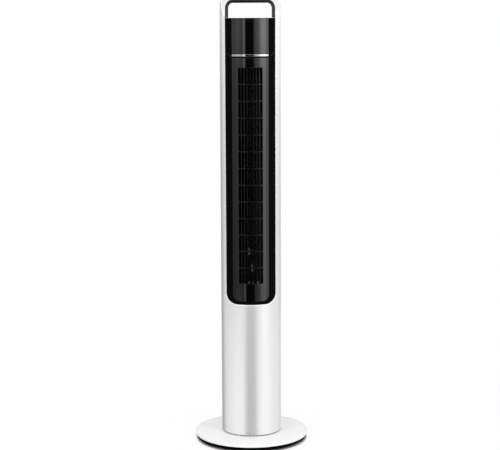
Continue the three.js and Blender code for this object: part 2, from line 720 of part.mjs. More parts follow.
// Its stem ends above the switch by a little more than the button's travel.
function button() {
  const top = DECK_Z - 0.6;
  const flange = DECK_Z - DECK_T - GAP;
  const stem = BOARD_Z + BOARD_T + SWITCH_T + 1.5;
  return revolve([
    [0, stem],
    [2.5, stem],
    [2.5, flange - 2],
    [BUTTON_R + BUTTON_FLANGE, flange - 2],
    [BUTTON_R + BUTTON_FLANGE, flange],
    [BUTTON_R, flange],
    [BUTTON_R, top - 0.6],
    [BUTTON_R - 0.6, top],
    [0, top],
  ]);
}

function controlBoard() {
  const top = BOARD_Z + BOARD_T;
  const board = block(-44, 44, -60, 16, BOARD_Z, top);
  const corners = block(-90, 90, -90, -40, BOARD_Z - 1, top + 1);
  const roundFront = cut(board, cut(corners, rod(63, BOARD_Z - 2, top + 2, 36)));
  const switches = BUTTONS.map((_, i) => {
    const at = buttonPlace(i);
    return block(at.x - 3, at.x + 3, at.y - 3, at.y + 3, top - 0.5, top + SWITCH_T);
  });
  const chip = block(-8, 8, -18, -6, top - 0.5, top + 2);
  const plug = block(-26, -14, 6, 14, top - 0.5, top + 8);
  return join(roundFront, ...switches, chip, plug);
}

function powerBoard() {
  const face = POWER_BOARD_Y;
  const half = BOARD_RAIL_X[1] - GAP;
  const board = block(-half, half, face, face + 1.6, BOARD_RAIL_Z[0] + 2, BOARD_RAIL_Z[1] - 2);
  const transformer = block(-18, 14, face - 26, face + 0.5, 205, 240);
  const capacitor = rod(9, 0, 24, 16).rotateX(Math.PI / 2).translate(12, face + 0.5, 265);
  const relays = [-22, -4].map((x) => block(x - 7, x + 7, face - 15, face + 0.5, 280, 298));
  return join(board, transformer, capacitor, ...relays);
}

// ---- Fan ----------------------------------------------------------------------------------------
// A blade's section: a strip curved forwards from the inner ring to the outer one.
function bladeShape() {
  const from = polar(FAN_INNER_R, 0);
  const to = polar(FAN_R, 9);
  const middle = polar((FAN_R + FAN_INNER_R) / 2 + 0.5, 1.5);
  return ribbon([from, middle, to], BLADE_T);
}

function impeller() {
  const cell = (FAN_TOP_Z - FAN_Z - FAN_DISC_T) / FAN_CELLS;
  const blades = [];
  for (let level = 0; level < FAN_CELLS; level++) {
    const z = FAN_Z + FAN_DISC_T + level * cell;
    const blade = upright(bladeShape(), z - 0.6, z + cell - FAN_DISC_T + 0.6);
    for (let i = 0; i < FAN_BLADES; i++) {
      blades.push(blade.clone().rotateZ(rad((360 * i) / FAN_BLADES + level * FAN_STAGGER)));
    }
  }
  const discs = spread(0, FAN_CELLS, FAN_CELLS).map((level) => {
    const z = FAN_Z + level * cell;
    const bore = level === 0 ? HUB_R + GAP : level === FAN_CELLS ? PIN_R + GAP : FAN_INNER_R - 2;
    return tube(FAN_R + 0.8, bore, z, z + FAN_DISC_T, 16);
  });
  const hub = tube(10, PIN_R + GAP, FAN_TOP_Z - 12, FAN_TOP_Z - 1);
  return join(mergeGeometries(blades), ...discs, hub);
}

function driveHub() {
  return revolve([
    [SHAFT_R + GAP, FAN_Z - 3.5],
    [HUB_R + 2.5, FAN_Z - 3.5],
    [HUB_R + 2.5, FAN_Z - GAP],
    [HUB_R, FAN_Z - GAP],
    [HUB_R, FAN_Z + 4],
    [HUB_R - 5, FAN_Z + 10],
    [SHAFT_R + GAP, FAN_Z + 10],
  ]);
}

// Plan of the duct's plates: full width behind the bezel, drawn in behind the outlet grille.
function ductPlate(boreR) {
  const corner = 66;
  const frontR = 65;
  const outline = [...arc(FIT_R, corner, 360 - corner, 24), ...arc(frontR, -corner, corner, 10)];
  const plate = upright(new THREE.Shape(outline), 0, DUCT_T);
  const bore = rod(boreR, -1, DUCT_T + 1).translate(0, FAN_Y, 0);
  const wireNotch = rod(WIRE_R + 1.9, -1, DUCT_T + 1).translate(WIRE.x, WIRE.y, 0);
  return cut(plate, bore, wireNotch);
}

// The scroll opens steadily from the intake side round to the outlet's right edge.
function scrollWall() {
  const line = spread(0, 1, 18).map((t) => {
    const at = polar(THREE.MathUtils.lerp(46, 73.5, t), THREE.MathUtils.lerp(150, 26.6, t));
    return at.add(new THREE.Vector2(0, FAN_Y));
  });
  return upright(ribbon(line, 2), FLOOR_Z + DUCT_T + GAP, CEILING_Z - GAP);
}

// The tongue splits the air at the outlet's left edge, close to the blades.
function tongueWall() {
  const curve = new THREE.SplineCurve([
    new THREE.Vector2(-33, -56),
    new THREE.Vector2(-26.5, -34),
    new THREE.Vector2(-29, -26),
    new THREE.Vector2(-45, -24),
    new THREE.Vector2(-67, -22),
  ]);
  return upright(ribbon(curve.getPoints(16), 2), FLOOR_Z + DUCT_T + GAP, CEILING_Z - GAP);
}

function fanMotor() {
  const top = MOTOR_Z + MOTOR_H;
  const can = revolve([
    [0, MOTOR_Z],
    [12, MOTOR_Z],
    [14, MOTOR_Z + 3],
    [30, MOTOR_Z + 4],
    [MOTOR_R, MOTOR_Z + 10],
    [MOTOR_R, top - 8],
    [31, top - 2],
    [12, top],
    [12, top + 4],
    [SHAFT_R + 0.8, top + 4],
    [SHAFT_R + 0.8, top - 16],
    [0, top - 16],
  ]);
  const ear = block(-6, 6, -MOUNT_RING_R - 6, -30, top - 10, top - 7);
  return join(can, ...MOUNT_ANGLES.map((angle) => ear.clone().rotateZ(rad(angle))));
}

function rubberMount() {
  const z0 = MOTOR_Z + MOTOR_H - 7 + GAP;
  const z1 = FLOOR_Z - GAP;
  const waist = (z0 + z1) / 2;
  return revolve([[0, z0], [5.5, z0], [5.5, z0 + 4], [3.5, waist], [5.5, z1 - 4], [5.5, z1], [0, z1]], 10);
}

// Wires run from the swivel post up the free side of the duct to the control board.
function wireHarness() {
  const path = new THREE.CatmullRomCurve3([
    new THREE.Vector3(0, 0, POST_TOP_Z + 2),
    new THREE.Vector3(0, 0, 80),
    new THREE.Vector3(-34, 2, 130),
    new THREE.Vector3(WIRE.x + 2, WIRE.y, 190),
    new THREE.Vector3(WIRE.x, WIRE.y, 240),
    new THREE.Vector3(WIRE.x, WIRE.y, 620),
    new THREE.Vector3(WIRE.x, WIRE.y, 1010),
    new THREE.Vector3(WIRE.x + 3, WIRE.y, 1040),
    new THREE.Vector3(-44, 8, 1078),
    new THREE.Vector3(-20, 10, 1090),
    new THREE.Vector3(-20, 10, BOARD_Z - GAP),
  ]);
  const ring = new THREE.Shape(arc(WIRE_R, 0, 300, 5));
  return new THREE.ExtrudeGeometry(ring, { steps: 18, bevelEnabled: false, extrudePath: path });
}

// ---- Assembly -----------------------------------------------------------------------------------
function addBase() {
  add(fan, "base_plate", basePlate(), SATIN_BLACK);
  add(fan, "base_cover", baseCover(), WHITE);
  add(fan, "ballast_plate", ballastPlate(), STEEL);
  for (let i = 0; i < FOOT_COUNT; i++) {
    const at = polar(FOOT_RING_R, (360 * i) / FOOT_COUNT);
    add(fan, `foot_${i + 1}`, foot(), RUBBER).position.set(at.x, at.y, 0);
  }
  const grommet = add(fan, "cord_grommet", cordGrommet(), RUBBER);
  grommet.rotation.x = -Math.PI / 2;
  grommet.position.set(0, PLATE_R - PLATE_WALL, CORD_Z);
}

function addSwingDrive() {
  add(fan, "swivel_post", swivelPost(), STEEL);
  add(fan, "sector_gear", sectorGear(), NYLON);
  add(fan, "glide_ring", glideRing(), NYLON);
  add(fan, "thrust_washer", thrustWasher(), NYLON);
  add(fan, "retaining_nut", retainingNut(), ZINC);
  add(fan, "turntable", turntable(), SATIN_BLACK);
  add(fan, "oscillation_motor", swingMotor(), ZINC);
  add(fan, "oscillation_pinion", pinion(), NYLON).position.set(0, PINION_Y, GEAR_Z + GAP / 2);
}

function addColumn() {
  add(fan, "front_shell", frontShell(), PEARL);
  const rear = new THREE.Group();
  rear.rotation.z = Math.PI;
  fan.add(rear);
  add(rear, "rear_shell", rearShell(), PEARL);
  add(rear, "intake_grille", intakeGrille(), PEARL);
  SHELL_SCREW_Z.forEach((z, row) => {
    [-SHELL_SCREW_X, SHELL_SCREW_X].forEach((x, side) => {
      const mesh = add(rear, `shell_screw_${2 * row + side + 1}`, screw(26), ZINC);
      mesh.rotation.x = -Math.PI / 2;
      mesh.position.set(x, -SCREW_HEAD_Y - GAP - 1.3, z);
    });
  });
  add(fan, "front_bezel", frontBezel(), SATIN_BLACK);
  add(fan, "outlet_grille", outletGrille(), GLOSS_BLACK);
  add(fan, "head_panel", headPanel(), GLOSS_BLACK);
  add(fan, "trim_strip", trimStrip(), CHROME);
  add(fan, "power_board", powerBoard(), BOARD_GREEN);
  add(fan, "wire_harness", wireHarness(), WIRE_GREY);
}

function addHead() {
  add(fan, "handle_arch", handleArch(), PEARL);
  add(fan, "handle_liner", handleLiner(), GRIP_BLACK);
  add(fan, "top_deck", topDeck(), GLOSS_BLACK);
  add(fan, "control_board", controlBoard(), BOARD_GREEN);
  BUTTONS.forEach((name, i) => {
    const at = buttonPlace(i);
    add(fan, `${name}_button`, button(), MATT_BLACK).position.set(at.x, at.y, 0);
  });
}

function addFan() {
  const axis = new THREE.Group();
  axis.position.y = FAN_Y;
  fan.add(axis);
  add(axis, "impeller", impeller(), MATT_BLACK);
  add(axis, "drive_hub", driveHub(), RUBBER);
  add(axis, "fan_shaft", rod(SHAFT_R, MOTOR_Z + 32, FAN_Z + 13, 16), STEEL);
  add(axis, "impeller_pin", rod(PIN_R, FAN_TOP_Z - 11, CEILING_Z + 8, 14), STEEL);
  add(axis, "fan_motor", fanMotor(), ZINC);
  MOUNT_ANGLES.forEach((angle, i) => {
    const at = polar(MOUNT_RING_R, angle);
    add(axis, `rubber_mount_${i + 1}`, rubberMount(), RUBBER).position.set(at.x, at.y, 0);
  });
  add(axis, "bearing_boot", tube(BOOT_R, BEARING_R + 0.4, CEILING_Z - 3, CEILING_Z + 6), RUBBER);
  add(axis, "upper_bearing", tube(BEARING_R, PIN_R + 0.4, CEILING_Z - 2.4, CEILING_Z + 5.4), BRONZE);
  add(fan, "duct_floor", ductPlate(HUB_R + 6), MATT_BLACK).position.z = FLOOR_Z;
  add(fan, "duct_ceiling", ductPlate(BOOT_R + 0.4), MATT_BLACK).position.z = CEILING_Z;
  add(fan, "scroll_wall", scrollWall(), MATT_BLACK);
  add(fan, "tongue_wall", tongueWall(), MATT_BLACK);
}

addBase();
addSwingDrive();
addColumn();
addHead();
addFan();

export default fan;
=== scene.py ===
import json
import math

import bmesh
import bpy
from mathutils import Matrix, Vector

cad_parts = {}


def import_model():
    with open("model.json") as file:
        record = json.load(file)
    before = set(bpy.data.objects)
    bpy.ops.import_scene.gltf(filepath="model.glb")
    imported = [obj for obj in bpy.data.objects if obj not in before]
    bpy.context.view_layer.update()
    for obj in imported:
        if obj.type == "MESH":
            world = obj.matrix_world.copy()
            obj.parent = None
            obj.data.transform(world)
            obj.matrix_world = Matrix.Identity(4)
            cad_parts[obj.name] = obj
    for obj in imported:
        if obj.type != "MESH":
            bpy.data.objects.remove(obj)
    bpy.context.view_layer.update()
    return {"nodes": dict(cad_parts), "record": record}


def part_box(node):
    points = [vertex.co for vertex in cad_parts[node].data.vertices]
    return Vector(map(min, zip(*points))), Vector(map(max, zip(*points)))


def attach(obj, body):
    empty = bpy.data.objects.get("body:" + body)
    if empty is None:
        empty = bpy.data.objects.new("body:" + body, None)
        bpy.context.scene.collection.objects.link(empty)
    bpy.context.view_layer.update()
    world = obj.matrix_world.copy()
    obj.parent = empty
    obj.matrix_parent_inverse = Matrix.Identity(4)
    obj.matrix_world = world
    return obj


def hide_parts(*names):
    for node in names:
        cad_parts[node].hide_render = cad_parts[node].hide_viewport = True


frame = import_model()

MM = 0.001


def corners(node):
    """Lowest and highest corner of a CAD node, in mm."""
    low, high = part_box(node)
    return low / MM, high / MM


# ---- Dimensions: what the frame gives first, then what the CAD model's form needs -----------------
SHELL_LOW, SHELL_HIGH = corners("front_shell")
COLUMN_R = SHELL_HIGH.x
SHELL_Z = SHELL_LOW.z
DECK_Z = SHELL_HIGH.z
BEZEL_LOW, BEZEL_HIGH = corners("front_bezel")
FRONT_HALF = BEZEL_HIGH.x
FRONT_Z = BEZEL_LOW.z
FRONT_TOP = BEZEL_HIGH.z
PANEL_LOW, PANEL_HIGH = corners("outlet_grille")
PANEL_HALF = PANEL_HIGH.x
PANEL_Z = PANEL_LOW.z
PANEL_R = -PANEL_LOW.y
TRIM_LOW, TRIM_HIGH = corners("trim_strip")
HEAD_LOW, HEAD_HIGH = corners("head_panel")
ARCH_LOW, ARCH_HIGH = corners("handle_arch")
LINER_LOW, LINER_HIGH = corners("handle_liner")
DECK_LOW, DECK_HIGH = corners("top_deck")
COVER_LOW, COVER_HIGH = corners("base_cover")
PLATE_LOW, PLATE_HIGH = corners("base_plate")
INTAKE_LOW, INTAKE_HIGH = corners("intake_grille")
FAN_LOW, FAN_HIGH = corners("impeller")
GROMMET_LOW, GROMMET_HIGH = corners("cord_grommet")

GAP = 0.3  # between neighbouring pieces
PAST = 5  # how far a cutting shape reaches past what it cuts
BEHIND = -40  # y behind the panel and the grilles, while they face the front
ROUND = 160  # steps round the column and the base
BASE_SCREW_R = 118
FOOT_NODES = [f"foot_{i + 1}" for i in range(6)]
WALL = 2.5
INSIDE_R = COLUMN_R - 1  # within the shells' wall
SEAM = 89.85  # half the angle that each shell spans
SCREW_PLACES = [(x, z) for x in (-58, 58) for z in (60, 350)]
BOSS_R, BOSS_BORE, HEAD_BORE, HEAD_BORE_Y = 5.8, 1.8, 4.3, -12  # radii, and where the wide bore ends
FRONT_SEAM = 0.9  # between the front shell and the black front
FRONT_CORNER, PANEL_CORNER = 27, 16
BEZEL_T, PANEL_T, LIP_DEPTH = 9, 2.4, 10
SHADOW_STRIP = 3.5  # height of the matte black strip under the bright line, which paints the shadow under it
SLOT_Z, SLOT_TOP = 436.5, 1001.8
SLOT_COLUMNS, SLOT_PITCH, FIN = 8, 7.9, 2
SLOT_ROWS, BAR = 13, 2.2
SLOT_SPARE = 1.0  # how much further out the outermost slots reach
FIN_DEPTH, FIN_SUNK = 10, 0.25
INTAKE_COLUMNS, INTAKE_PITCH, INTAKE_FIN = 8, 11.6, 4.6
INTAKE_ROWS, INTAKE_BAR = 5, 8
RIB, RIB_PITCH = 1.4, 9.4
HANDLE_CORNER, LINER_CORNER = 28.7, 22
GRIP_HALF, GRIP_TOP, GRIP_CORNER = 56.7, 1168.6, 15
HANDLE_TOP_HALF, HANDLE_FOOT_HALF = 26, 47.3  # the handle's half depth at the top and at the deck
HANDLE_BLANK = 60  # its half depth before it is trimmed to that
DECK_T, CHEEK_DEPTH = 5, 3
BUTTONS = ("oscillation", "timer", "power", "speed", "mode")
BUTTON_R, BUTTON_RING, BUTTON_STEP = 7, 54, 20
RECESS_HALF, RECESS_ANGLE, RECESS_DEPTH = 12, 52, 2
FAN_Y, FAN_INNER_R = 10, 32
FAN_BLADES, FAN_CELLS = 30, 11
FIRST_BLADE, CELL_TURN = 0.7, 0.15  # in blade pitches: the first blade's place, and each cell's lead
BLADE_LEAN, BLADE_T = 9, 1.2  # degrees from inner to outer edge, and thickness
GLINT_CLIPS = ((461, 482), (508, 525))  # lowest and highest z of the pale clips, painted glints behind the slots
# pale rivets at the foot of the slots, painted glints: their places and height
GLINT_RIVET_X, GLINT_RIVET_Y, GLINT_RIVET_TOP = (-4.8, 5.5, 18), -60.5, 440


# ---- Shapes: (points, faces) in mm -----------------------------------------------------------------
def shares(steps):
    """The ends of equal steps from 0 to 1."""
    return [i / steps for i in range(steps + 1)]


def arc(cx, cy, r, start, end, steps):
    """Points of an arc from one angle to another, in degrees, anticlockwise from the first axis."""
    angles = [math.radians(start + (end - start) * i / steps) for i in range(steps + 1)]
    return [(cx + r * math.cos(a), cy + r * math.sin(a)) for a in angles]


def circle(r, steps, at=(0, 0)):
    return arc(*at, r, 0, 360 - 360 / steps, steps - 1)


def front_y(r, x):
    """y of an upright cylinder's front."""
    return -math.sqrt(r * r - x * x)


def rounded(outline, steps=5):
    """A closed outline of (x, y, radius) corners with each corner rounded."""
    points = []
    for i, (x, y, r) in enumerate(outline):
        here = Vector((x, y))
        if r == 0:
            points.append((x, y))
            continue
        before = (Vector(outline[i - 1][:2]) - here).normalized()
        after = (Vector(outline[(i + 1) % len(outline)][:2]) - here).normalized()
        half = before.angle(after) / 2
        centre = here + (before + after).normalized() * r / math.sin(half)
        start = here + before * r / math.tan(half) - centre
        end = here + after * r / math.tan(half) - centre
        first = math.degrees(math.atan2(start.y, start.x))
        turn = (math.degrees(math.atan2(end.y, end.x)) - first + 180) % 360 - 180
        points += arc(centre.x, centre.y, r, first, first + turn, steps)
    return points


def lathe(profile, steps=ROUND):
    """A closed outline of (radius, z) turned about the Z axis."""
    count = len(profile)
    points = []
    for i in range(steps):
        turn = 2 * math.pi * i / steps
        points += [(r * math.cos(turn), r * math.sin(turn), z) for r, z in profile]
    faces = []
    for i in range(steps):
        this, that = i * count, (i + 1) % steps * count
        for j in range(count):
            k = (j + 1) % count
            faces.append((this + j, that + j, that + k, this + k))
    return points, faces


def tube(inner, outer, low, high, steps=ROUND):
    return lathe([(inner, low), (outer, low), (outer, high), (inner, high)], steps)


def prism(outline, low, high, axis="z"):
    """An outline carried along an axis: (x, y) along z, (x, z) along y, or (y, z) along x."""
    place = {
        "z": lambda a, b, c: (a, b, c),
        "y": lambda a, b, c: (a, c, b),
        "x": lambda a, b, c: (c, a, b),
    }[axis]
    count = len(outline)
    points = [place(a, b, c) for c in (low, high) for a, b in outline]
    sides = [(i, (i + 1) % count, count + (i + 1) % count, count + i) for i in range(count)]
    return points, [tuple(range(count)), tuple(range(count, 2 * count)), *sides]


def block(x0, x1, y0, y1, z0, z1):
    return prism([(x0, y0), (x1, y0), (x1, y1), (x0, y1)], z0, z1)


def rod(r, low, high, axis="z", at=(0, 0), steps=ROUND):
    return prism(circle(r, steps, at), low, high, axis)


def loft(rings):
    """A skin over rings of equal point counts, closed at both ends."""
    count = len(rings[0])
    last = (len(rings) - 1) * count
    faces = [tuple(range(count)), tuple(range(last, last + count))]
    for i in range(len(rings) - 1):
        for j in range(count):
            k = (j + 1) % count
            faces.append((i * count + j, i * count + k, i * count + count + k, i * count + count + j))
    return [p for ring in rings for p in ring], faces


def sweep(path, r, out_of, steps=12):
    """A round bar along a path; out_of gives the outward direction at a point of it."""
    turns = [2 * math.pi * j / steps for j in range(steps)]
    rings = []
    for i, point in enumerate(path):
        along = (Vector(path[min(i + 1, len(path) - 1)]) - Vector(path[max(i - 1, 0)])).normalized()
        out = Vector(out_of(point)).normalized()
        across = along.cross(out)
        rings.append([tuple(Vector(point) + r * (math.cos(a) * out + math.sin(a) * across)) for a in turns])
    return loft(rings)


def moved(shape, matrix):
    return [tuple(matrix @ Vector(p)) for p in shape[0]], shape[1]


def turned(shape, degrees):
    return moved(shape, Matrix.Rotation(math.radians(degrees), 4, "Z"))


def shifted(shape, x=0, y=0, z=0):
    return moved(shape, Matrix.Translation((x, y, z)))


def together(shapes):
    """Several shapes as one, without joining them."""
    points, faces = [], []
    for more_points, more_faces in shapes:
        start = len(points)
        points += more_points
        faces += [tuple(start + i for i in face) for face in more_faces]
    return points, faces


# ---- Objects ---------------------------------------------------------------------------------------
def placed(name, data):
    """A new object in the scene."""
    made = bpy.data.objects.new(name, data)
    bpy.context.scene.collection.objects.link(made)
    return made


def solid(name, shape):
    """An object from a shape in mm, with its faces out."""
    mesh = bpy.data.meshes.new(name)
    mesh.from_pydata([Vector(p) * MM for p in shape[0]], [], shape[1])
    work = bmesh.new()
    work.from_mesh(mesh)
    bmesh.ops.remove_doubles(work, verts=work.verts, dist=1e-7)
    bmesh.ops.recalc_face_normals(work, faces=work.faces)
    work.to_mesh(mesh)
    work.free()
    return placed(name, mesh)


def combine(piece, operation, tools):
    """Cuts, joins or keeps a piece by tools, each a shape or an object, which it uses up."""
    for tool in tools:
        other = solid("tool", tool) if isinstance(tool, tuple) else tool
        step = piece.modifiers.new("step", "BOOLEAN")
        step.object = other
        step.operation = operation
        step.solver = "MANIFOLD"
        graph = bpy.context.evaluated_depsgraph_get()
        made = bpy.data.meshes.new_from_object(piece.evaluated_get(graph), depsgraph=graph)
        piece.modifiers.clear()
        piece.data = made
        bpy.data.objects.remove(other)
    return piece


def cut(piece, *tools):
    return combine(piece, "DIFFERENCE", tools)


def join(piece, *tools):
    return combine(piece, "UNION", tools)


def keep(piece, *tools):
    return combine(piece, "INTERSECT", tools)


def smooth(piece, angle=32):
    """Smooth shading, except across edges sharper than an angle."""
    piece.data.polygons.foreach_set("use_smooth", [True] * len(piece.data.polygons))
    piece.data.set_sharp_from_angle(angle=math.radians(angle))
    return piece


def soften(piece, width, where=None, segments=3, angle=32):
    """Rounds the sharp edges, or each by the share of the width that a rule gives for its middle (mm)."""
    smooth(piece, angle)
    work = bmesh.new()
    work.from_mesh(piece.data)
    weight = work.edges.layers.float.new("bevel_weight_edge")
    for edge in work.edges:
        if len(edge.link_faces) != 2 or edge.calc_face_angle() < math.radians(angle):
            continue
        middle = (edge.verts[0].co + edge.verts[1].co) / (2 * MM)
        share = 1 if where is None else float(where(middle))
        if share > 0:
            edge[weight] = share
            edge.smooth = True
    work.to_mesh(piece.data)
    work.free()
    bevel = piece.modifiers.new("soft_edges", "BEVEL")
    bevel.limit_method = "WEIGHT"
    bevel.width = width * MM
    bevel.segments = segments
    bevel.use_clamp_overlap = False
    normals = piece.modifiers.new("normals", "WEIGHTED_NORMAL")
    normals.keep_sharp = True
    return piece


def outside(r, slack=0.3):
    """A rule for soften: the edges on or beyond an upright cylinder."""
    return lambda p: p.xy.length > r - slack


def dress(piece, body, slot, *nodes, finish=None):
    """Gives a piece its finish and its body, and hides the CAD nodes that it stands for."""
    piece.data.materials.clear()
    piece.data.materials.append(FINISH[finish or slot])
    piece.visible_glossy = body != "base"  # the column's satin foot mirrors nothing of the base
    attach(piece, body)
    if nodes:
        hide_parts(*nodes)


# ---- Materials -------------------------------------------------------------------------------------
FINISH = {}
NOISE_LOW, NOISE_HIGH = 0.3, 0.7  # nearly all of a noise's values lie between these
MIX_FIRST, MIX_SECOND, MIX_RESULT = 6, 7, 2  # the sockets for colours on a Mix node


class Graph:
    """The node tree of a material or world, with short ways to add to it."""

    def __init__(self, owner):
        owner.use_nodes = True
        self.nodes = owner.node_tree.nodes
        self.links = owner.node_tree.links

    def fill(self, node, *ordered, **named):
        """Gives sockets, in order or by name, a value or a link from another node's output."""
        sockets = [*zip(node.inputs, ordered)]
        sockets += [(node.inputs[name.replace("_", " ")], value) for name, value in named.items()]
        for socket, value in sockets:
            if isinstance(value, bpy.types.NodeSocket):
                self.links.new(value, socket)
            else:
                socket.default_value = value
        return node

    def add(self, kind, *ordered, **named):
        return self.fill(self.nodes.new(f"ShaderNode{kind}"), *ordered, **named)

    def operate(self, operation, *values):
        made = self.add("Math", *values)
        made.operation = operation
        return made.outputs[0]

    def ramp(self, fac, stops):
        """A colour that goes through stops of (position, colour)."""
        made = self.add("ValToRGB", Fac=fac)
        points = made.color_ramp.elements
        for i, (where, colour) in enumerate(stops):
            point = points[i] if i < 2 else points.new(where)  # a new ramp has two stops
            point.position = where
            point.color = (*colour, 1)
        return made.outputs["Color"]

    def spread(self, value, low, high, to_low=0.0, to_high=1.0):
        """A value carried from one range over to another, and held at its ends."""
        return self.add("MapRange", value, low, high, to_low, to_high).outputs["Result"]

    def blend(self, factor, first, second, kind="MIX"):
        """Two colours as one; the factor is the second one's share."""
        made = self.add("Mix", factor)
        made.data_type = "RGBA"
        made.blend_type = kind
        self.links.new(first, made.inputs[MIX_FIRST])
        self.links.new(second, made.inputs[MIX_SECOND])
        return made.outputs[MIX_RESULT]

    def seen(self):
        """1 for rays of the camera, of gloss and of glass, which see the backdrop; else 0."""
        path = self.add("LightPath")
        result = path.outputs["Is Camera Ray"]
        for ray in ("Is Glossy Ray", "Is Transmission Ray"):
            result = self.operate("MAXIMUM", result, path.outputs[ray])
        return result


class Finish(Graph):
    """A Principled material whose colour, roughness and relief come from noise in the piece's space."""

    def __init__(self, name, **values):
        FINISH[name] = bpy.data.materials.new(name)
        super().__init__(FINISH[name])
        self.shader = self.nodes["Principled BSDF"]
        self.place = self.add("TexCoord").outputs["Object"]
        self.fill(self.shader, **values)

    def noise(self, scale, detail, stretch=(1, 1, 1)):
        place = self.add("Mapping", Vector=self.place, Scale=stretch).outputs["Vector"]
        return self.add("TexNoise", Vector=place, Scale=scale, Detail=detail).outputs["Fac"]

    def colour(self, fac, dark, light, low=NOISE_LOW, high=NOISE_HIGH):
        self.fill(self.shader, Base_Color=self.ramp(fac, ((low, dark), (high, light))))

    def roughness(self, fac, low, high):
        self.fill(self.shader, Roughness=self.spread(fac, NOISE_LOW, NOISE_HIGH, low, high))

    def relief(self, fac, height, strength=1.0):
        bump = self.add("Bump", Height=fac, Distance=height * MM, Strength=strength)
        self.fill(self.shader, Normal=bump.outputs["Normal"])


def grey(level, tint=0.0):
    return (level, level, level * (1 + tint))


def pearl_white():
    """Pearl lacquer: a smooth satin coat, whose gloss and level drift a little over the shell."""
    made = Finish("shell_white", Metallic=0.5)
    made.colour(made.noise(90, 2), grey(0.88, 0.008), grey(0.888, 0.008))
    made.roughness(made.noise(6, 1), 0.265, 0.275)
    made.relief(made.noise(12, 1), 0.02)


def base_white():
    made = Finish("base_white", Specular_IOR_Level=0.35)
    made.colour(made.noise(60, 3), grey(0.87, 0.005), grey(0.89, 0.005))
    made.roughness(made.noise(8, 2), 0.32, 0.36)
    made.relief(made.noise(30, 1), 0.006)


def piano_black():
    made = Finish("panel_black", Specular_IOR_Level=1.0)
    made.colour(made.noise(20, 2), grey(0.001), grey(0.0016))
    made.roughness(made.noise(28, 5), 0.04, 0.07)
    made.relief(made.noise(14, 2), 0.02, 0.3)


def fin_black():
    """The grid in the panel's window: the same black, less polished."""
    made = Finish("fin_black", Specular_IOR_Level=0.5)
    made.colour(made.noise(60, 2), grey(0.001), grey(0.002))
    made.roughness(made.noise(90, 3), 0.2, 0.3)
    made.relief(made.noise(500, 2), 0.002)


def frame_black():
    """Moulded black with a fine grain that takes its gloss away."""
    made = Finish("frame_black", Specular_IOR_Level=0.03)
    made.colour(made.noise(300, 3), grey(0.0008), grey(0.0016))
    made.roughness(made.noise(120, 3), 0.42, 0.52)
    made.relief(made.noise(2400, 2), 0.01)


def grip_black():
    """The lining of the handle: smoother, with a half gloss."""
    made = Finish("grip_black", Specular_IOR_Level=0.5)
    made.colour(made.noise(260, 3), grey(0.006), grey(0.01))
    made.roughness(made.noise(60, 3), 0.2, 0.28)
    made.relief(made.noise(900, 2), 0.004)


def inner_black():
    made = Finish("inner_black", Specular_IOR_Level=0.4)
    made.colour(made.noise(150, 3), grey(0.02, 0.04), grey(0.03, 0.04))
    made.roughness(made.noise(90, 3), 0.45, 0.6)
    made.relief(made.noise(1500, 2), 0.015)


def button_black():
    made = Finish("button_black", Specular_IOR_Level=0.4)
    made.colour(made.noise(400, 3), grey(0.018, 0.03), grey(0.026, 0.03))
    made.roughness(made.noise(300, 3), 0.4, 0.5)
    made.relief(made.noise(3000, 2), 0.01)


def chrome_trim():
    """Plated plastic, polished along its length."""
    made = Finish("chrome_trim", Metallic=1.0)
    made.colour(made.noise(160, 3, (1, 1, 12)), grey(0.74, 0.01), grey(0.8, 0.01))
    made.roughness(made.noise(220, 3, (1, 1, 10)), 0.08, 0.12)
    made.relief(made.noise(500, 2, (1, 1, 8)), 0.002)


def rubber():
    made = Finish("rubber", Specular_IOR_Level=0.3)
    made.colour(made.noise(500, 4), grey(0.010), grey(0.018))
    made.roughness(made.noise(250, 3), 0.75, 0.9)
    made.relief(made.noise(1800, 3), 0.03)


def metal(name, dark, light, low, high, stretch=(1, 1, 1)):
    made = Finish(name, Metallic=1.0)
    made.colour(made.noise(220, 4, stretch), dark, light)
    made.roughness(made.noise(180, 4, stretch), low, high)
    made.relief(made.noise(900, 3, stretch), 0.006)


def natural_nylon():
    made = Finish("nylon", Subsurface_Weight=0.1, Subsurface_Scale=0.002)
    made.colour(made.noise(90, 3), (0.72, 0.69, 0.6), (0.8, 0.77, 0.69))
    made.roughness(made.noise(120, 3), 0.45, 0.6)
    made.relief(made.noise(1300, 2), 0.01)


def circuit_board():
    """Solder resist over tracks, which show as slightly raised lighter lines."""
    made = Finish("circuit_board")
    made.colour(made.noise(240, 1, (1, 0.2, 4)), (0.012, 0.09, 0.04), (0.03, 0.17, 0.08), 0.47, 0.53)
    made.roughness(made.noise(300, 2), 0.25, 0.4)
    made.relief(made.noise(240, 1, (1, 0.2, 4)), 0.03)


def sleeved_wire():
    made = Finish("wire", Specular_IOR_Level=0.4)
    made.colour(made.noise(700, 3, (1, 1, 0.3)), grey(0.02, 0.05), grey(0.05, 0.05))
    made.roughness(made.noise(400, 3), 0.5, 0.7)
    made.relief(made.noise(1600, 2, (1, 1, 0.2)), 0.04)


def finishes():
    pearl_white()
    base_white()
    piano_black()
    fin_black()
    frame_black()
    grip_black()
    inner_black()
    button_black()
    chrome_trim()
    rubber()
    metal("steel", grey(0.4, 0.02), grey(0.5, 0.02), 0.25, 0.38, (1, 1, 6))
    metal("zinc", grey(0.52, 0.03), grey(0.64, 0.03), 0.3, 0.45)
    metal("bronze", (0.42, 0.27, 0.12), (0.55, 0.38, 0.18), 0.3, 0.45)
    natural_nylon()
    circuit_board()
    sleeved_wire()


def dress_frame():
    """Every CAD node gets the finish of its slot; most outer ones are then replaced."""
    base = frame["record"]["behaviour"]["bodies"]["base"]
    for part in frame["record"]["subparts"]:
        node = frame["nodes"][part["node"]]
        node.data.materials.clear()
        node.data.materials.append(FINISH[part["material_slot"]])
        node.visible_glossy = part["node"] not in base


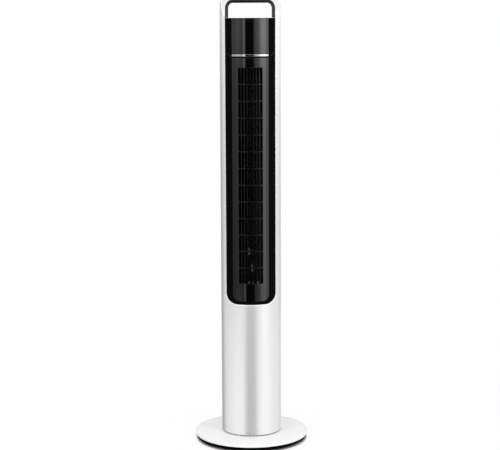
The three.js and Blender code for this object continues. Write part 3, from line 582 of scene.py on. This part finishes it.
# ---- Base ------------------------------------------------------------------------------------------
def base_cover():
    """The white disc: a thin edge, a low dome, and a well under the column."""
    r, low, top = COVER_HIGH.x, COVER_LOW.z, COVER_HIGH.z
    dome_r, dome_z, rim_z, skirt_z = r - 1.6, 20.3, 19, 14.6
    seat, well, neck, skirt = 71.3, 58, 60.6, 146  # radii
    recess, sheet = 20.2, 17.4  # heights of the well's shoulder and of the underside
    rim = [(r - 0.5, skirt_z, 0.4), (r, rim_z, 1.6)]
    dome = []
    for t in shares(12):
        rise = math.sin(t * math.pi / 2)
        dome.append((dome_r + (seat - dome_r) * t, dome_z + (top - dome_z) * rise, 0))
    inside = [(seat, recess, 0), (well, recess, 0.4), (well, low, 0.4)]
    under = [(neck, low, 0.4), (neck, sheet, 0), (skirt, sheet, 0), (skirt, skirt_z, 0)]
    cover = solid("disc_cover", lathe(rounded([*under, *rim, *dome, *inside])))
    dress(smooth(cover, 40), "base", "base_white", "base_cover")


def base_screw_places():
    """Four places, a quarter turn apart."""
    return arc(0, 0, BASE_SCREW_R, -60, 210, 3)


def base_plate():
    """The black dish under the cover, with a way out for the cord, four seats for screws and two grooves."""
    r, low, high = PLATE_HIGH.x, PLATE_LOW.z, PLATE_HIGH.z
    bore, flat, wall = 10, 143, 3
    cord_r, cord_z = 3.5, 10.15
    seat_r, seat_depth = 4.6, 1.6
    groove_t, groove_depth = 1.2, 0.5
    underside = [(bore, low, 0.4), (flat, low, 3), (flat + 4, low + 1.4, 4), (r, low + 5, 4)]
    dish = [(r, high, 0.5), (r - wall, high, 0.5), (r - wall, low + wall, 1), (bore, low + wall, 0)]
    plate = solid("dish_plate", lathe(rounded([*underside, *dish])))
    cut(plate, rod(cord_r, r - 2 * wall, r + wall, "y", (0, cord_z), 40))
    cut(plate, *[rod(seat_r, low - 1, low + seat_depth, at=at, steps=40) for at in base_screw_places()])
    cut(plate, *[tube(inner, inner + groove_t, low - 1, low + groove_depth) for inner in (40, 92)])
    soften(plate, 0.3, lambda p: p.z < low + 0.2 or p.y > r - 1)
    dress(plate, "base", "frame_black", "base_plate")


def pan_screw(name, place, height, length):
    """A pan head with a cross recess on a plain shank, its face at the origin, looking down."""
    head_r, shank_r = 3.6, 1.5
    slot_half, slot_reach, slot_depth = 0.45, 2, 0.9
    head = [(0, 0, 0), (head_r, 0, 0.6), (head_r, height, 0), (shank_r, height, 0)]
    profile = [*head, (shank_r, length, 0), (0, length, 0)]
    piece = solid(name, moved(lathe(rounded(profile), 40), place))
    for wide, deep in ((slot_half, slot_reach), (slot_reach, slot_half)):
        cut(piece, moved(block(-wide, wide, -deep, deep, -1, slot_depth), place))
    return smooth(piece)


def base_screws():
    """Short screws that hold the cover; only their heads show."""
    for i, (x, y) in enumerate(base_screw_places()):
        place = Matrix.Translation((x, y, PLATE_LOW.z + 0.2))
        dress(pan_screw(f"plate_screw_{i + 1}", place, 1.2, 2.4), "base", "zinc")


def shell_screws():
    """Long screws, deep in the rear shell's holes."""
    for i in range(len(SCREW_PLACES)):
        node = f"shell_screw_{i + 1}"
        low, high = corners(node)
        middle = (low + high) / 2
        place = Matrix.Translation((middle.x, high.y, middle.z)) @ Matrix.Rotation(math.pi / 2, 4, "X")
        screw = pan_screw(f"deep_screw_{i + 1}", place, 1.3, high.y - low.y)
        dress(screw, "column", "zinc", node)


def feet():
    """Rubber pads with a rounded rim and two rings that grip."""
    rings = [(0, 0.3, 0), (3, 0.3, 0.2), (3.4, 0, 0.2), (5.2, 0, 0.2), (5.6, 0.5, 0.2), (7, 0.5, 0.2)]
    rim = [(7.4, 0, 0.2), (10, 0, 0.9)]
    for node in FOOT_NODES:
        low, high = corners(node)
        middle = (low + high) / 2
        profile = [*rings, *rim, (10, high.z, 0.3), (0, high.z, 0)]
        pad = shifted(lathe(rounded(profile, 4), 56), middle.x, middle.y)
        dress(smooth(solid(node.replace("foot", "rubber_pad"), pad)), "base", "rubber", node)


def cord_bush():
    """The rubber bush that the mains cord would leave by."""
    inner, outer = GROMMET_LOW.y, GROMMET_HIGH.y
    inner_face, outer_face = inner + 2.1, outer - 1.6
    bore, neck, flange = 2.2, 3.1, (GROMMET_HIGH.x - GROMMET_LOW.x) / 2
    inside = [(bore, inner, 0.3), (flange, inner, 0.5), (flange, inner_face, 0.3), (neck, inner_face, 0)]
    cap = [(neck, outer_face, 0), (flange, outer_face, 0.3), (flange - 0.4, outer, 0.7), (bore, outer, 0.5)]
    middle = (GROMMET_LOW.z + GROMMET_HIGH.z) / 2
    place = Matrix.Translation((0, 0, middle)) @ Matrix.Rotation(-math.pi / 2, 4, "X")
    bush = solid("cord_bush", moved(lathe(rounded([*inside, *cap]), 48), place))
    dress(smooth(bush), "base", "rubber", "cord_grommet")


# ---- Column ----------------------------------------------------------------------------------------
def u_outline(half, bottom, corner, top):
    """A front-view U, open at the top: straight sides and round lower corners."""
    left = arc(corner - half, bottom + corner, corner, 180, 270, 24)
    right = arc(half - corner, bottom + corner, corner, 270, 360, 24)
    return [(-half, top), *left, *right, (half, top)]


def arch_outline(half, top, corner, bottom):
    """The same turned over, open at the bottom."""
    right = arc(half - corner, top - corner, corner, 0, 90, 24)
    left = arc(corner - half, top - corner, corner, 90, 180, 24)
    return [(half, bottom), *right, *left, (-half, bottom)]


def half_tube():
    outer = arc(0, 0, COLUMN_R, -90 - SEAM, -90 + SEAM, ROUND // 2)
    inner = arc(0, 0, COLUMN_R - WALL, -90 + SEAM, -90 - SEAM, ROUND // 2)
    return prism(outer + inner, SHELL_Z, DECK_Z)


def screw_bosses():
    """Tubes inside a shell that the screws go through, built facing the front."""
    bosses = solid("bosses", together([rod(BOSS_R, -COLUMN_R, -GAP, "y", at, 32) for at in SCREW_PLACES]))
    keep(bosses, rod(INSIDE_R, SHELL_Z, DECK_Z))
    bores = [rod(BOSS_BORE, -COLUMN_R - PAST, PAST, "y", at, 24) for at in SCREW_PLACES]
    return cut(bosses, together(bores))


def opening_bead(half, bottom):
    """The rounded rim that the shell ends in all round the black front."""
    r, steps = 2.2, 24
    outline = u_outline(half + r, bottom - r, FRONT_CORNER + r, DECK_Z)
    left, right = outline[: len(outline) // 2], outline[len(outline) // 2 :]
    line = [(left[-1][0] * (1 - 2 * i / steps), bottom - r) for i in range(1, steps)]
    path = [(x, front_y(INSIDE_R, x), z) for x, z in [*left, *line, *right]]
    return sweep(path, r, lambda point: (point[0], point[1], 0))


def front_shell():
    """The half tube with its U-shaped opening, whose edge turns in behind the bezel."""
    half, bottom = FRONT_HALF + FRONT_SEAM, FRONT_Z - GAP
    opening = prism(u_outline(half, bottom, FRONT_CORNER, DECK_Z + PAST), -COLUMN_R - PAST, PAST, "y")
    rim = u_outline(half + WALL, bottom - WALL, FRONT_CORNER + WALL, DECK_Z)
    inside = rod(INSIDE_R, bottom - WALL - PAST, DECK_Z + PAST)
    lip = cut(solid("lip", prism(rim, -COLUMN_R, 0, "y")), opening)
    keep(lip, inside)
    cut(lip, shifted(inside, y=LIP_DEPTH))
    shell = cut(solid("front_half", half_tube()), opening)
    join(shell, lip, screw_bosses(), opening_bead(half, bottom))
    skin = outside(COLUMN_R)
    soften(shell, 0.7, lambda p: skin(p) and (p.z < SHELL_Z + 1 or abs(p.y) < 1))  # foot and parting line
    dress(shell, "column", "shell_white", "front_shell")


def rear_shell():
    """The other half, with the intake's window and four deep screw holes."""
    half = INTAKE_HIGH.x + 2 * GAP
    window = block(-half, half, -COLUMN_R - PAST, -half, INTAKE_LOW.z - GAP, INTAKE_HIGH.z + GAP)
    shell = cut(solid("rear_half", half_tube()), window)
    join(shell, screw_bosses())
    bores = [rod(HEAD_BORE, -COLUMN_R - PAST, HEAD_BORE_Y, "y", at, 40) for at in SCREW_PLACES]
    cut(shell, together(bores))
    shell.data.transform(Matrix.Rotation(math.pi, 4, "Z"))
    soften(shell, 0.7, outside(COLUMN_R))
    dress(shell, "column", "shell_white", "rear_shell")


def curved_panel(r, thickness, half, low, high, step=1.0):
    """An upright panel whose front lies on a cylinder of radius r."""
    count = max(2, round(2 * half / step))
    xs = [-half + 2 * half * i / count for i in range(count + 1)]
    front = [(x, front_y(r, x)) for x in xs]
    back = [(x, front_y(r - thickness, x)) for x in reversed(xs)]
    return prism(front + back, low, high)


def slots(columns, pitch, fin, rows, bar, corner=0.8, spare=0.0):
    """All slots of a grille as one set of bars; the outermost reach out a little further."""
    height = (SLOT_TOP - SLOT_Z + bar) / rows
    bars = []
    for column in range(columns):
        middle = (column - (columns - 1) / 2) * pitch
        left = middle - (pitch - fin) / 2 - (spare if column == 0 else 0)
        right = middle + (pitch - fin) / 2 + (spare if column == columns - 1 else 0)
        for row in range(rows):
            low = SLOT_Z + row * height
            high = low + height - bar
            outline = [(x, z, corner) for x, z in ((left, low), (right, low), (right, high), (left, high))]
            bars.append(prism(rounded(outline, 2), -COLUMN_R - PAST, BEHIND, "y"))
    return together(bars)


def outlet_grille():
    """The glossy panel with one large window, and the duller grid of fins and bars that fills it."""
    # the panel stops short here to leave room for the painted-shadow strip under the bright line
    top = PANEL_HIGH.z - SHADOW_STRIP
    panel = solid("slotted_panel", curved_panel(PANEL_R, PANEL_T, PANEL_HALF, PANEL_Z - 1, top))
    outline = u_outline(PANEL_HALF, PANEL_Z, PANEL_CORNER, PANEL_HIGH.z + PAST)
    keep(panel, prism(outline, -COLUMN_R, BEHIND, "y"))
    half = (SLOT_COLUMNS * SLOT_PITCH - FIN) / 2 + SLOT_SPARE
    wide = 1.6
    join(panel, curved_panel(PANEL_R - 1, FIN_DEPTH - 1, half + wide, SLOT_Z - wide, SLOT_TOP + wide))
    cut(panel, block(-half, half, -COLUMN_R - PAST, BEHIND, SLOT_Z, SLOT_TOP))
    soften(panel, 0.35, outside(PANEL_R, 0.2), 2)
    dress(panel, "column", "panel_black", "outlet_grille")
    edge = 0.8
    reach, low, high = half + edge, SLOT_Z - edge, SLOT_TOP + edge
    grid = solid("slot_grid", curved_panel(PANEL_R - FIN_SUNK, FIN_DEPTH, reach, low, high))
    cut(grid, slots(SLOT_COLUMNS, SLOT_PITCH, FIN, SLOT_ROWS, BAR, spare=SLOT_SPARE))
    keep(grid, block(-reach, reach, -COLUMN_R, BEHIND, low, high))
    soften(grid, 0.5, outside(PANEL_R, 0.5))
    dress(grid, "column", "panel_black", "outlet_grille", finish="fin_black")


def intake_grille():
    """The rear grille: tall slots, with thin cross ribs set back in them."""
    half, reach = INTAKE_HIGH.x, INTAKE_COLUMNS * INTAKE_PITCH / 2
    grille = solid("rear_grille", curved_panel(COLUMN_R, WALL, half, INTAKE_LOW.z, INTAKE_HIGH.z))
    cut(grille, slots(INTAKE_COLUMNS, INTAKE_PITCH, INTAKE_FIN, INTAKE_ROWS, INTAKE_BAR, 1.5))
    soften(grille, 0.5, outside(COLUMN_R), 2)
    ribs = []
    z = SLOT_Z + RIB_PITCH / 2
    while z < SLOT_TOP:
        ribs.append(curved_panel(COLUMN_R - WALL - 0.05, RIB, reach, z - RIB / 2, z + RIB / 2, 3))
        z += RIB_PITCH
    backing = solid("rear_ribs", together(ribs))
    for piece in (grille, backing):
        piece.data.transform(Matrix.Rotation(math.pi, 4, "Z"))
    dress(smooth(backing), "column", "shell_white")
    dress(grille, "column", "shell_white", "intake_grille")


def front_bezel():
    """The black border, which slopes from the shell's surface in to the panel."""
    inner_half, inner_z = PANEL_HALF + GAP, PANEL_Z - GAP
    outer_middle = (FRONT_HALF - FRONT_CORNER, FRONT_Z + FRONT_CORNER)
    inner_middle = (inner_half - PANEL_CORNER, inner_z + PANEL_CORNER)
    outer = [(FRONT_HALF, FRONT_TOP), *arc(*outer_middle, FRONT_CORNER, 0, -90, 24)]
    inner = [(inner_half, FRONT_TOP), *arc(*inner_middle, PANEL_CORNER, 0, -90, 24)]
    for line, z in ((outer, FRONT_Z), (inner, inner_z)):
        x = line[-1][0]
        line += [(x * (1 - t), z) for t in shares(12)[1:-1]]
        line += [(0, z), *[(-side, height) for side, height in reversed(line)]]
    rings = []
    for (ox, oz), (ix, iz) in zip(outer, inner):
        oy, iy = front_y(COLUMN_R - GAP, ox), front_y(PANEL_R, ix)
        rings.append([(ox, oy, oz), (ix, iy, iz), (ix, iy + PANEL_T, iz), (ox, oy + BEZEL_T, oz)])
    bezel = solid("front_border", loft(rings))
    soften(bezel, 0.5, outside(PANEL_R, 1.5), angle=40)
    dress(bezel, "column", "frame_black", "front_bezel")


def front_slope(x):
    """y of the bezel's face beside the panel, at a distance x from the middle."""
    inner, outer = PANEL_HALF + GAP, FRONT_HALF
    inner_y, outer_y = front_y(PANEL_R, inner), front_y(COLUMN_R - GAP, outer)
    return inner_y + (outer_y - inner_y) * (x - inner) / (outer - inner)


def head():
    """The plain glossy panel over the slots, the bright line, and under it a shallow matte black strip that
    paints the line's shadow.
    """
    panel = solid("head_window", curved_panel(PANEL_R, PANEL_T, PANEL_HALF, HEAD_LOW.z, HEAD_HIGH.z))
    dress(soften(panel, 0.35), "column", "panel_black", "head_panel")
    sunk = 0.6
    # painted shadow: a matte black strip, sunk only a little, stands for the shade under the bright line
    shadow_strip = curved_panel(PANEL_R - sunk, PANEL_T - sunk, PANEL_HALF, PANEL_HIGH.z - SHADOW_STRIP, TRIM_LOW.z)
    dress(smooth(solid("line_shadow_strip", shadow_strip)), "column", "panel_black", finish="frame_black")
    line = solid("bright_line", curved_panel(-TRIM_LOW.y, PANEL_T, PANEL_HALF, TRIM_LOW.z, TRIM_HIGH.z))
    dress(soften(line, 0.4, segments=4), "column", "chrome_trim", "trim_strip")


def trim_wings():
    """Two thin raised strokes that carry the bright line up over the border."""
    inner, outer = PANEL_HALF + 1.5, FRONT_HALF - 2.5
    low, high, lift = TRIM_LOW.z - 2, TRIM_HIGH.z + 4, 0.25
    for name, side in (("left", -1), ("right", 1)):
        path = []
        for t in shares(6):
            x = inner + (outer - inner) * t
            path.append((side * x, front_slope(x) + lift, low + (high - low) * t))
        wing = solid(f"trim_wing_{name}", sweep(path, 0.7, lambda point: (0, -1, 0), 8))
        dress(smooth(wing), "column", "panel_black", finish="fin_black")


# ---- Handle and deck -------------------------------------------------------------------------------
def bend(start, control, end):
    """A quadratic curve's points, without its first."""
    start, control, end = Vector(start), Vector(control), Vector(end)
    return [tuple(start * (1 - t) ** 2 + control * 2 * t * (1 - t) + end * t * t) for t in shares(10)[1:]]


def handle_side(inset):
    """The handle's side view: deep at the deck, drawn in towards the top."""
    foot, top = HANDLE_FOOT_HALF - inset, HANDLE_TOP_HALF - inset
    crest = ARCH_HIGH.z
    waist = DECK_Z + (crest - DECK_Z) * 0.35
    right = [(foot, DECK_Z - 1)]
    right += bend(right[-1], (top + 3, waist), (top, crest - 5))
    right += bend(right[-1], (top - 1, crest), (top - 6, crest))
    outline = right + [(-y, z) for y, z in reversed(right)]
    return prism(outline, -COLUMN_R - PAST, COLUMN_R + PAST, "x")


def handle_blank(name, outer, inner):
    piece = solid(name, prism(outer, -HANDLE_BLANK, HANDLE_BLANK, "y"))
    return cut(piece, prism(inner, -HANDLE_BLANK - PAST, HANDLE_BLANK + PAST, "y"))


def handle_arch():
    """The white band over the top."""
    outer = arch_outline(COLUMN_R + 1, ARCH_HIGH.z, HANDLE_CORNER, ARCH_LOW.z)
    inner = arch_outline(LINER_HIGH.x + GAP, LINER_HIGH.z + GAP, LINER_CORNER, ARCH_LOW.z - PAST)
    arch = handle_blank("handle_band", outer, inner)
    keep(arch, rod(COLUMN_R, DECK_Z - PAST, ARCH_HIGH.z + PAST), handle_side(0))
    soften(arch, 1.4, lambda p: p.z > DECK_Z + 1, 4)
    dress(arch, "column", "shell_white", "handle_arch")


def handle_liner():
    """The black band inside it, well rounded where the hand goes through."""
    outer = arch_outline(LINER_HIGH.x, LINER_HIGH.z, LINER_CORNER, LINER_LOW.z)
    inner = arch_outline(GRIP_HALF, GRIP_TOP, GRIP_CORNER, LINER_LOW.z - PAST)
    liner = handle_blank("handle_lining", outer, inner)
    keep(liner, handle_side(1.2))
    soften(liner, 3, lambda p: 1 if abs(p.x) < GRIP_HALF + 0.1 and p.z < GRIP_TOP + 0.1 else 0.3, 6)
    dress(liner, "column", "grip_black", "handle_liner")


def button_places():
    middle = (len(BUTTONS) - 1) / 2
    angles = [math.radians((i - middle) * BUTTON_STEP) for i in range(len(BUTTONS))]
    return [(BUTTON_RING * math.sin(a), -BUTTON_RING * math.cos(a)) for a in angles]


def top_deck():
    """The glossy deck behind the head's front edge, with matt cheeks and a sunk band for the buttons."""
    side, rear_r, under = DECK_HIGH.x, DECK_HIGH.y, DECK_Z - DECK_T
    corner = math.degrees(math.asin(side / rear_r))
    rear = arc(0, 0, rear_r, 90 - corner, 90 + corner, 48)
    half = PANEL_HALF + GAP
    xs = [half * (2 * t - 1) for t in shares(48)]
    front = [(x, front_y(PANEL_R, x)) for x in xs]
    bezel_y = front_y(COLUMN_R - GAP, side)
    deck = solid("control_deck", prism([*rear, (-side, bezel_y), *front, (side, bezel_y)], under, DECK_Z))
    cheek = [(side, bezel_y), (side, bezel_y + CHEEK_DEPTH), (half, front[0][1] + CHEEK_DEPTH), front[-1]]
    cheeks = together([prism([(sign * x, y) for x, y in cheek], under, DECK_Z) for sign in (-1, 1)])
    cut(deck, cheeks)
    matt = soften(solid("deck_cheeks", cheeks), 0.4)
    dress(matt, "column", "panel_black", "top_deck", finish="frame_black")
    low_r, high_r = BUTTON_RING - RECESS_HALF, BUTTON_RING + RECESS_HALF
    band = arc(0, 0, high_r, -90 - RECESS_ANGLE, -90 + RECESS_ANGLE, 60)
    band += arc(0, 0, low_r, -90 + RECESS_ANGLE, -90 - RECESS_ANGLE, 60)
    cut(deck, prism(band, DECK_Z - RECESS_DEPTH, DECK_Z + PAST))
    holes = [rod(BUTTON_R + 0.4, under - PAST, DECK_Z + PAST, at=at, steps=48) for at in button_places()]
    cut(deck, together(holes))
    post_r, post_places = 3, [(x, y) for x in (-35, 35) for y in (-25, 10)]
    join(deck, together([rod(post_r, DECK_LOW.z, under + 1, at=at, steps=24) for at in post_places]))
    soften(deck, 0.4, lambda p: p.z > DECK_Z - RECESS_DEPTH - 0.2)
    dress(deck, "column", "panel_black", "top_deck")


def button_keys():
    """Round keys with a shallow dish for the finger."""
    flange_r, flange_high = BUTTON_R + 1.6, DECK_Z - DECK_T - GAP
    flange_low = flange_high - 2
    stem_r, dish_depth = 2.5, 0.45
    for name, (x, y) in zip(BUTTONS, button_places()):
        low, high = corners(f"{name}_button")
        stem = [(0, low.z, 0), (stem_r, low.z, 0.3), (stem_r, flange_low, 0), (flange_r, flange_low, 0.3)]
        side = [(flange_r, flange_high, 0.3), (BUTTON_R, flange_high, 0), (BUTTON_R, high.z, 0.7)]
        dish = [(BUTTON_R * t, high.z - dish_depth * (1 - t**3), 0) for t in (0.75, 0.55, 0.35, 0.15, 0)]
        key = solid(f"{name}_key", shifted(lathe(rounded([*stem, *side, *dish], 4), 56), x, y))
        dress(smooth(key), f"{name}_button", "button_black", f"{name}_button")


# ---- Fan -------------------------------------------------------------------------------------------
def blade_line(outer_r):
    """The middle of a blade seen from above, from its inner edge to its outer one."""
    line = []
    for t in shares(5):
        r = FAN_INNER_R + (outer_r - 0.8 - FAN_INNER_R) * t
        angle = math.radians(BLADE_LEAN * t * t)
        line.append(Vector((r * math.sin(angle), -r * math.cos(angle))))
    return line


def beside(line, distance):
    """The points of a line moved to its left."""
    points = []
    for i, point in enumerate(line):
        along = (line[min(i + 1, len(line) - 1)] - line[max(i - 1, 0)]).normalized()
        points.append(tuple(point + Vector((-along.y, along.x)) * distance))
    return points


def thickened(line, half):
    """The closed outline of a strip along a line."""
    return beside(line, half) + beside(line, -half)[::-1]


def blade_turn(level, index):
    """Degrees from the front to a blade's inner edge; each cell is a little ahead of the one below."""
    return (index + FIRST_BLADE + level * CELL_TURN) * 360 / FAN_BLADES


def impeller():
    """The crossflow impeller: curved blades in cells between thin discs."""
    low, high, outer_r = FAN_LOW.z, FAN_HIGH.z, FAN_HIGH.x
    disc_t, end_t = 1.6, 2.4
    hub_bore, pin_bore, boss_r, boss_depth = 16.3, 3.3, 10, 12
    cell = (high - low - end_t) / FAN_CELLS
    outline = thickened(blade_line(outer_r), BLADE_T / 2)
    shapes = []
    for level in range(FAN_CELLS):
        z = low + end_t + level * cell
        blade = prism(outline, z - disc_t / 2, z + cell - disc_t / 2)
        shapes += [turned(blade, blade_turn(level, i)) for i in range(FAN_BLADES)]
    for level in range(FAN_CELLS + 1):
        z = low + level * cell
        thick = end_t if level in (0, FAN_CELLS) else disc_t
        bore = {0: hub_bore, FAN_CELLS: pin_bore}.get(level, FAN_INNER_R - 2)
        ring = [(bore, z, 0), (outer_r, z, 0.4), (outer_r, z + thick, 0.4), (bore, z + thick, 0)]
        shapes.append(lathe(rounded(ring, 2), 72))
    shapes.append(tube(pin_bore, boss_r, high - boss_depth, high - 1, 40))
    wheel = solid("crossflow_wheel", shifted(together(shapes), y=FAN_Y))
    dress(smooth(wheel), "impeller", "inner_black", "impeller")


def glint_clips():
    """Two pale nylon U-shaped clips on the edges of blades, set as balance clips; their light colour paints
    the glints seen between the fins.
    """
    spare, wall = 0.1, 0.6
    edge = blade_line(FAN_HIGH.x)[-3:]
    tip = edge[-1] + (edge[-1] - edge[-2]).normalized() * wall
    outer = thickened([*edge[:2], tip], BLADE_T / 2 + spare + wall)
    outline = [*outer, *thickened(edge, BLADE_T / 2 + spare)[::-1]]
    for i, (low, high) in enumerate(GLINT_CLIPS):
        clip = turned(prism(outline, low, high), blade_turn(i, -1 - i))
        dress(soften(solid(f"glint_clip_{i + 1}", shifted(clip, y=FAN_Y)), 0.25), "impeller", "nylon")


def glint_rivets():
    """Three domed pale nylon rivets along the front of the duct's floor; their light colour paints glints at
    the foot of the slots.
    """
    low = corners("duct_floor")[1].z
    r, foot_r, foot_t = 2.5, 3.5, 1.4
    foot = [(0, low, 0), (foot_r, low, 0.2), (foot_r, low + foot_t, 0.4), (r, low + foot_t + 0.2, 0)]
    dome = [(r * math.cos(a), GLINT_RIVET_TOP - r * (1 - math.sin(a)), 0) for a in (0, 0.3, 0.6, 0.9, 1.2)]
    shape = lathe(rounded([*foot, *dome, (0, GLINT_RIVET_TOP, 0)], 3), 32)
    for i, x in enumerate(GLINT_RIVET_X):
        dress(smooth(solid(f"glint_rivet_{i + 1}", shifted(shape, x, GLINT_RIVET_Y))), "column", "nylon")


# ---- Studio, in metres -----------------------------------------------------------------------------
CAMERA_PLACE = (-0.0022, -3.7004, 1.1286)
CAMERA_PITCH, CAMERA_ROLL = 8.40, -0.235
CAMERA_LENS, CAMERA_SENSOR = 101.0, 36
WHITE = (1, 1, 1, 1)
AMBIENT, PAPER = 0.55, 0.9  # levels of the world's light and of the floor's colour
FLOOR_R = 6.0
FLOOR_WHITE = ((0.0, 0.0), (0.1475, 0.0), (0.151, 0.9), (0.4, 0.97), (1.0, 1.0))  # distance, own glow
STUDIO_STEPS = 144  # round the screen and the floor

# What gloss sees round the fan is a screen that nothing else sees. At the fan's height it has a dark gap
# behind the camera with a light to either side, and a second gap at the rear left. Each level goes with
# an angle from the front towards +X. A high ray meets the first list, where the front gap is only a
# little dimmer than the rest, a level ray meets the second list, and a low one the third.
SCREEN_R = 5.0
SCREEN_SPAN = (-8, 12)  # lowest and highest z
SCREEN_HIGH = (
    (-180, 1.0), (-60, 1.0), (-24, 1.1), (-14, 0.8), (8, 0.75), (22, 1.1), (60, 1.2), (180, 1.0),
)
SCREEN_LEVEL = (
    (-180, 1.0), (-162, 0.95), (-151, 0.2), (-136, 0.1), (-124, 1.1), (-110, 1.1), (-85, 0.6),
    (-66, 0.45), (-50, 0.7), (-41, 0.55), (-30, 0.42), (-26, 1.2), (-22, 1.2), (-19, 0.05),
    (-16, 0.01), (10, 0.01), (13, 0.05), (16, 0.4), (24, 0.65), (35, 0.9), (44, 2.1), (58, 2.4),
    (68, 1.4), (85, 1.3), (120, 1.4), (160, 0.9), (180, 1.0),
)
SCREEN_LOW = (
    (-180, 1.0), (-165, 0.8), (-152, 0.05), (-138, 0.05), (-118, 0.65), (-85, 0.9), (-60, 1.0),
    (-30, 0.95), (-18, 0.0), (14, 0.0), (26, 0.8), (40, 1.0), (66, 1.0), (90, 0.85), (120, 0.8),
    (150, 0.6), (180, 1.0),
)
SCREEN_PEAK = 2.5
SCREEN_FALL = ((-0.7, 0.42), (0.1, 0.52), (0.7, 0.65), (1.05, 1.0))  # height, share of the level list
HIGH_FROM, HIGH_ALL = 1.25, 1.4  # heights between which the high list takes over
LOW_FROM, LOW_ALL = -0.66, -0.76


def camera():
    lens = bpy.data.cameras.new("camera")
    lens.lens = CAMERA_LENS
    lens.sensor_width = CAMERA_SENSOR
    made = placed("camera", lens)
    pitch = Matrix.Rotation(math.radians(90 - CAMERA_PITCH), 4, "X")
    roll = Matrix.Rotation(math.radians(CAMERA_ROLL), 4, "Z")
    made.matrix_world = Matrix.Translation(CAMERA_PLACE) @ (pitch @ roll)
    bpy.context.scene.camera = made


def world():
    """White to look at and in gloss; what lights the fan is softer."""
    made = bpy.data.worlds.new("studio")
    bpy.context.scene.world = made
    graph = Graph(made)
    graph.nodes.clear()
    ambient = graph.add("Background", Color=(*grey(AMBIENT), 1))
    backdrop = graph.add("Background", Color=WHITE)
    mix = graph.add("MixShader", graph.seen(), ambient.outputs[0], backdrop.outputs[0])
    graph.add("OutputWorld", Surface=mix.outputs[0])


def stage_piece(name, points, faces):
    """A piece of the studio with an empty material, and that material's graph."""
    mesh = bpy.data.meshes.new(name)
    mesh.from_pydata(points, [], faces)
    made = placed(name, mesh)
    mesh.materials.append(bpy.data.materials.new(name))
    graph = Graph(made.active_material)
    graph.nodes.clear()
    return made, graph


def screen():
    points, faces = prism(circle(SCREEN_R, STUDIO_STEPS), *SCREEN_SPAN)
    made, graph = stage_piece("screen", points, faces[2:])  # without the prism's two ends
    for kind in ("camera", "diffuse", "transmission", "volume_scatter", "shadow"):
        setattr(made, f"visible_{kind}", False)
    made.active_material.cycles.emission_sampling = "NONE"
    place = graph.add("TexCoord").outputs["Object"]
    height = graph.add("SeparateXYZ", place).outputs["Z"]
    turn = graph.add("Mapping", Vector=place, Rotation=(0, 0, math.radians(90)))
    around = graph.add("TexGradient", turn.outputs["Vector"])
    around.gradient_type = "RADIAL"

    def by_angle(table):
        stops = [((angle + 180) / 360, grey(level / SCREEN_PEAK)) for angle, level in table]
        return graph.ramp(around.outputs["Fac"], stops)

    low, high = SCREEN_FALL[0][0], SCREEN_FALL[-1][0]
    stops = [((z - low) / (high - low), grey(level)) for z, level in SCREEN_FALL]
    fall = graph.ramp(graph.spread(height, low, high), stops)
    level = graph.blend(1, by_angle(SCREEN_LEVEL), fall, "MULTIPLY")
    level = graph.blend(graph.spread(height, HIGH_FROM, HIGH_ALL), level, by_angle(SCREEN_HIGH))
    level = graph.blend(graph.spread(height, LOW_FROM, LOW_ALL), level, by_angle(SCREEN_LOW))
    glow = graph.add("Emission", Color=level, Strength=SCREEN_PEAK)
    graph.add("OutputMaterial", Surface=glow.outputs[0])


def floor():
    """A white floor: dark only where the base stands, a faint shadow near it, and backdrop beyond."""
    points = [(x, y, 0) for x, y in circle(FLOOR_R, STUDIO_STEPS)]
    made, graph = stage_piece("floor", points, [tuple(range(STUDIO_STEPS))])
    made.visible_glossy = False
    far = graph.add("VectorMath", graph.add("TexCoord").outputs["Object"])
    far.operation = "LENGTH"
    white = graph.ramp(far.outputs["Value"], [(where, grey(level)) for where, level in FLOOR_WHITE])
    paper = graph.add("BsdfDiffuse", Color=(*grey(PAPER), 1))
    glow = graph.add("Emission", Color=WHITE)
    share = graph.operate("MULTIPLY", white, graph.seen())
    mix = graph.add("MixShader", share, paper.outputs[0], glow.outputs[0])
    graph.add("OutputMaterial", Surface=mix.outputs[0])


def softbox(name, place, aim, size, watts):
    """A soft lamp that gloss doesn't see."""
    light = bpy.data.lights.new(name, "AREA")
    light.shape = "RECTANGLE"
    light.size, light.size_y = size
    light.energy = watts
    made = placed(name, light)
    made.location = place
    made.rotation_mode = "QUATERNION"
    made.rotation_quaternion = (Vector(aim) - Vector(place)).to_track_quat("-Z", "Y")
    made.visible_glossy = False


def studio():
    camera()
    world()
    screen()
    floor()
    softbox("key", (2.2, -2.8, 1.5), (0, 0, 0.6), (1.6, 2.0), 40)
    softbox("fill", (-2.2, -2.8, 1.5), (0, 0, 0.6), (1.6, 2.0), 34)
    softbox("top", (0, -0.35, 6), (0, 0, 0.5), (4.2, 4.2), 134)
    bpy.context.scene.view_settings.view_transform = "Standard"


studio()
finishes()
dress_frame()
base_cover()
base_plate()
base_screws()
feet()
cord_bush()
front_shell()
rear_shell()
shell_screws()
outlet_grille()
intake_grille()
front_bezel()
head()
trim_wings()
handle_arch()
handle_liner()
top_deck()
button_keys()
impeller()
glint_clips()
glint_rivets()
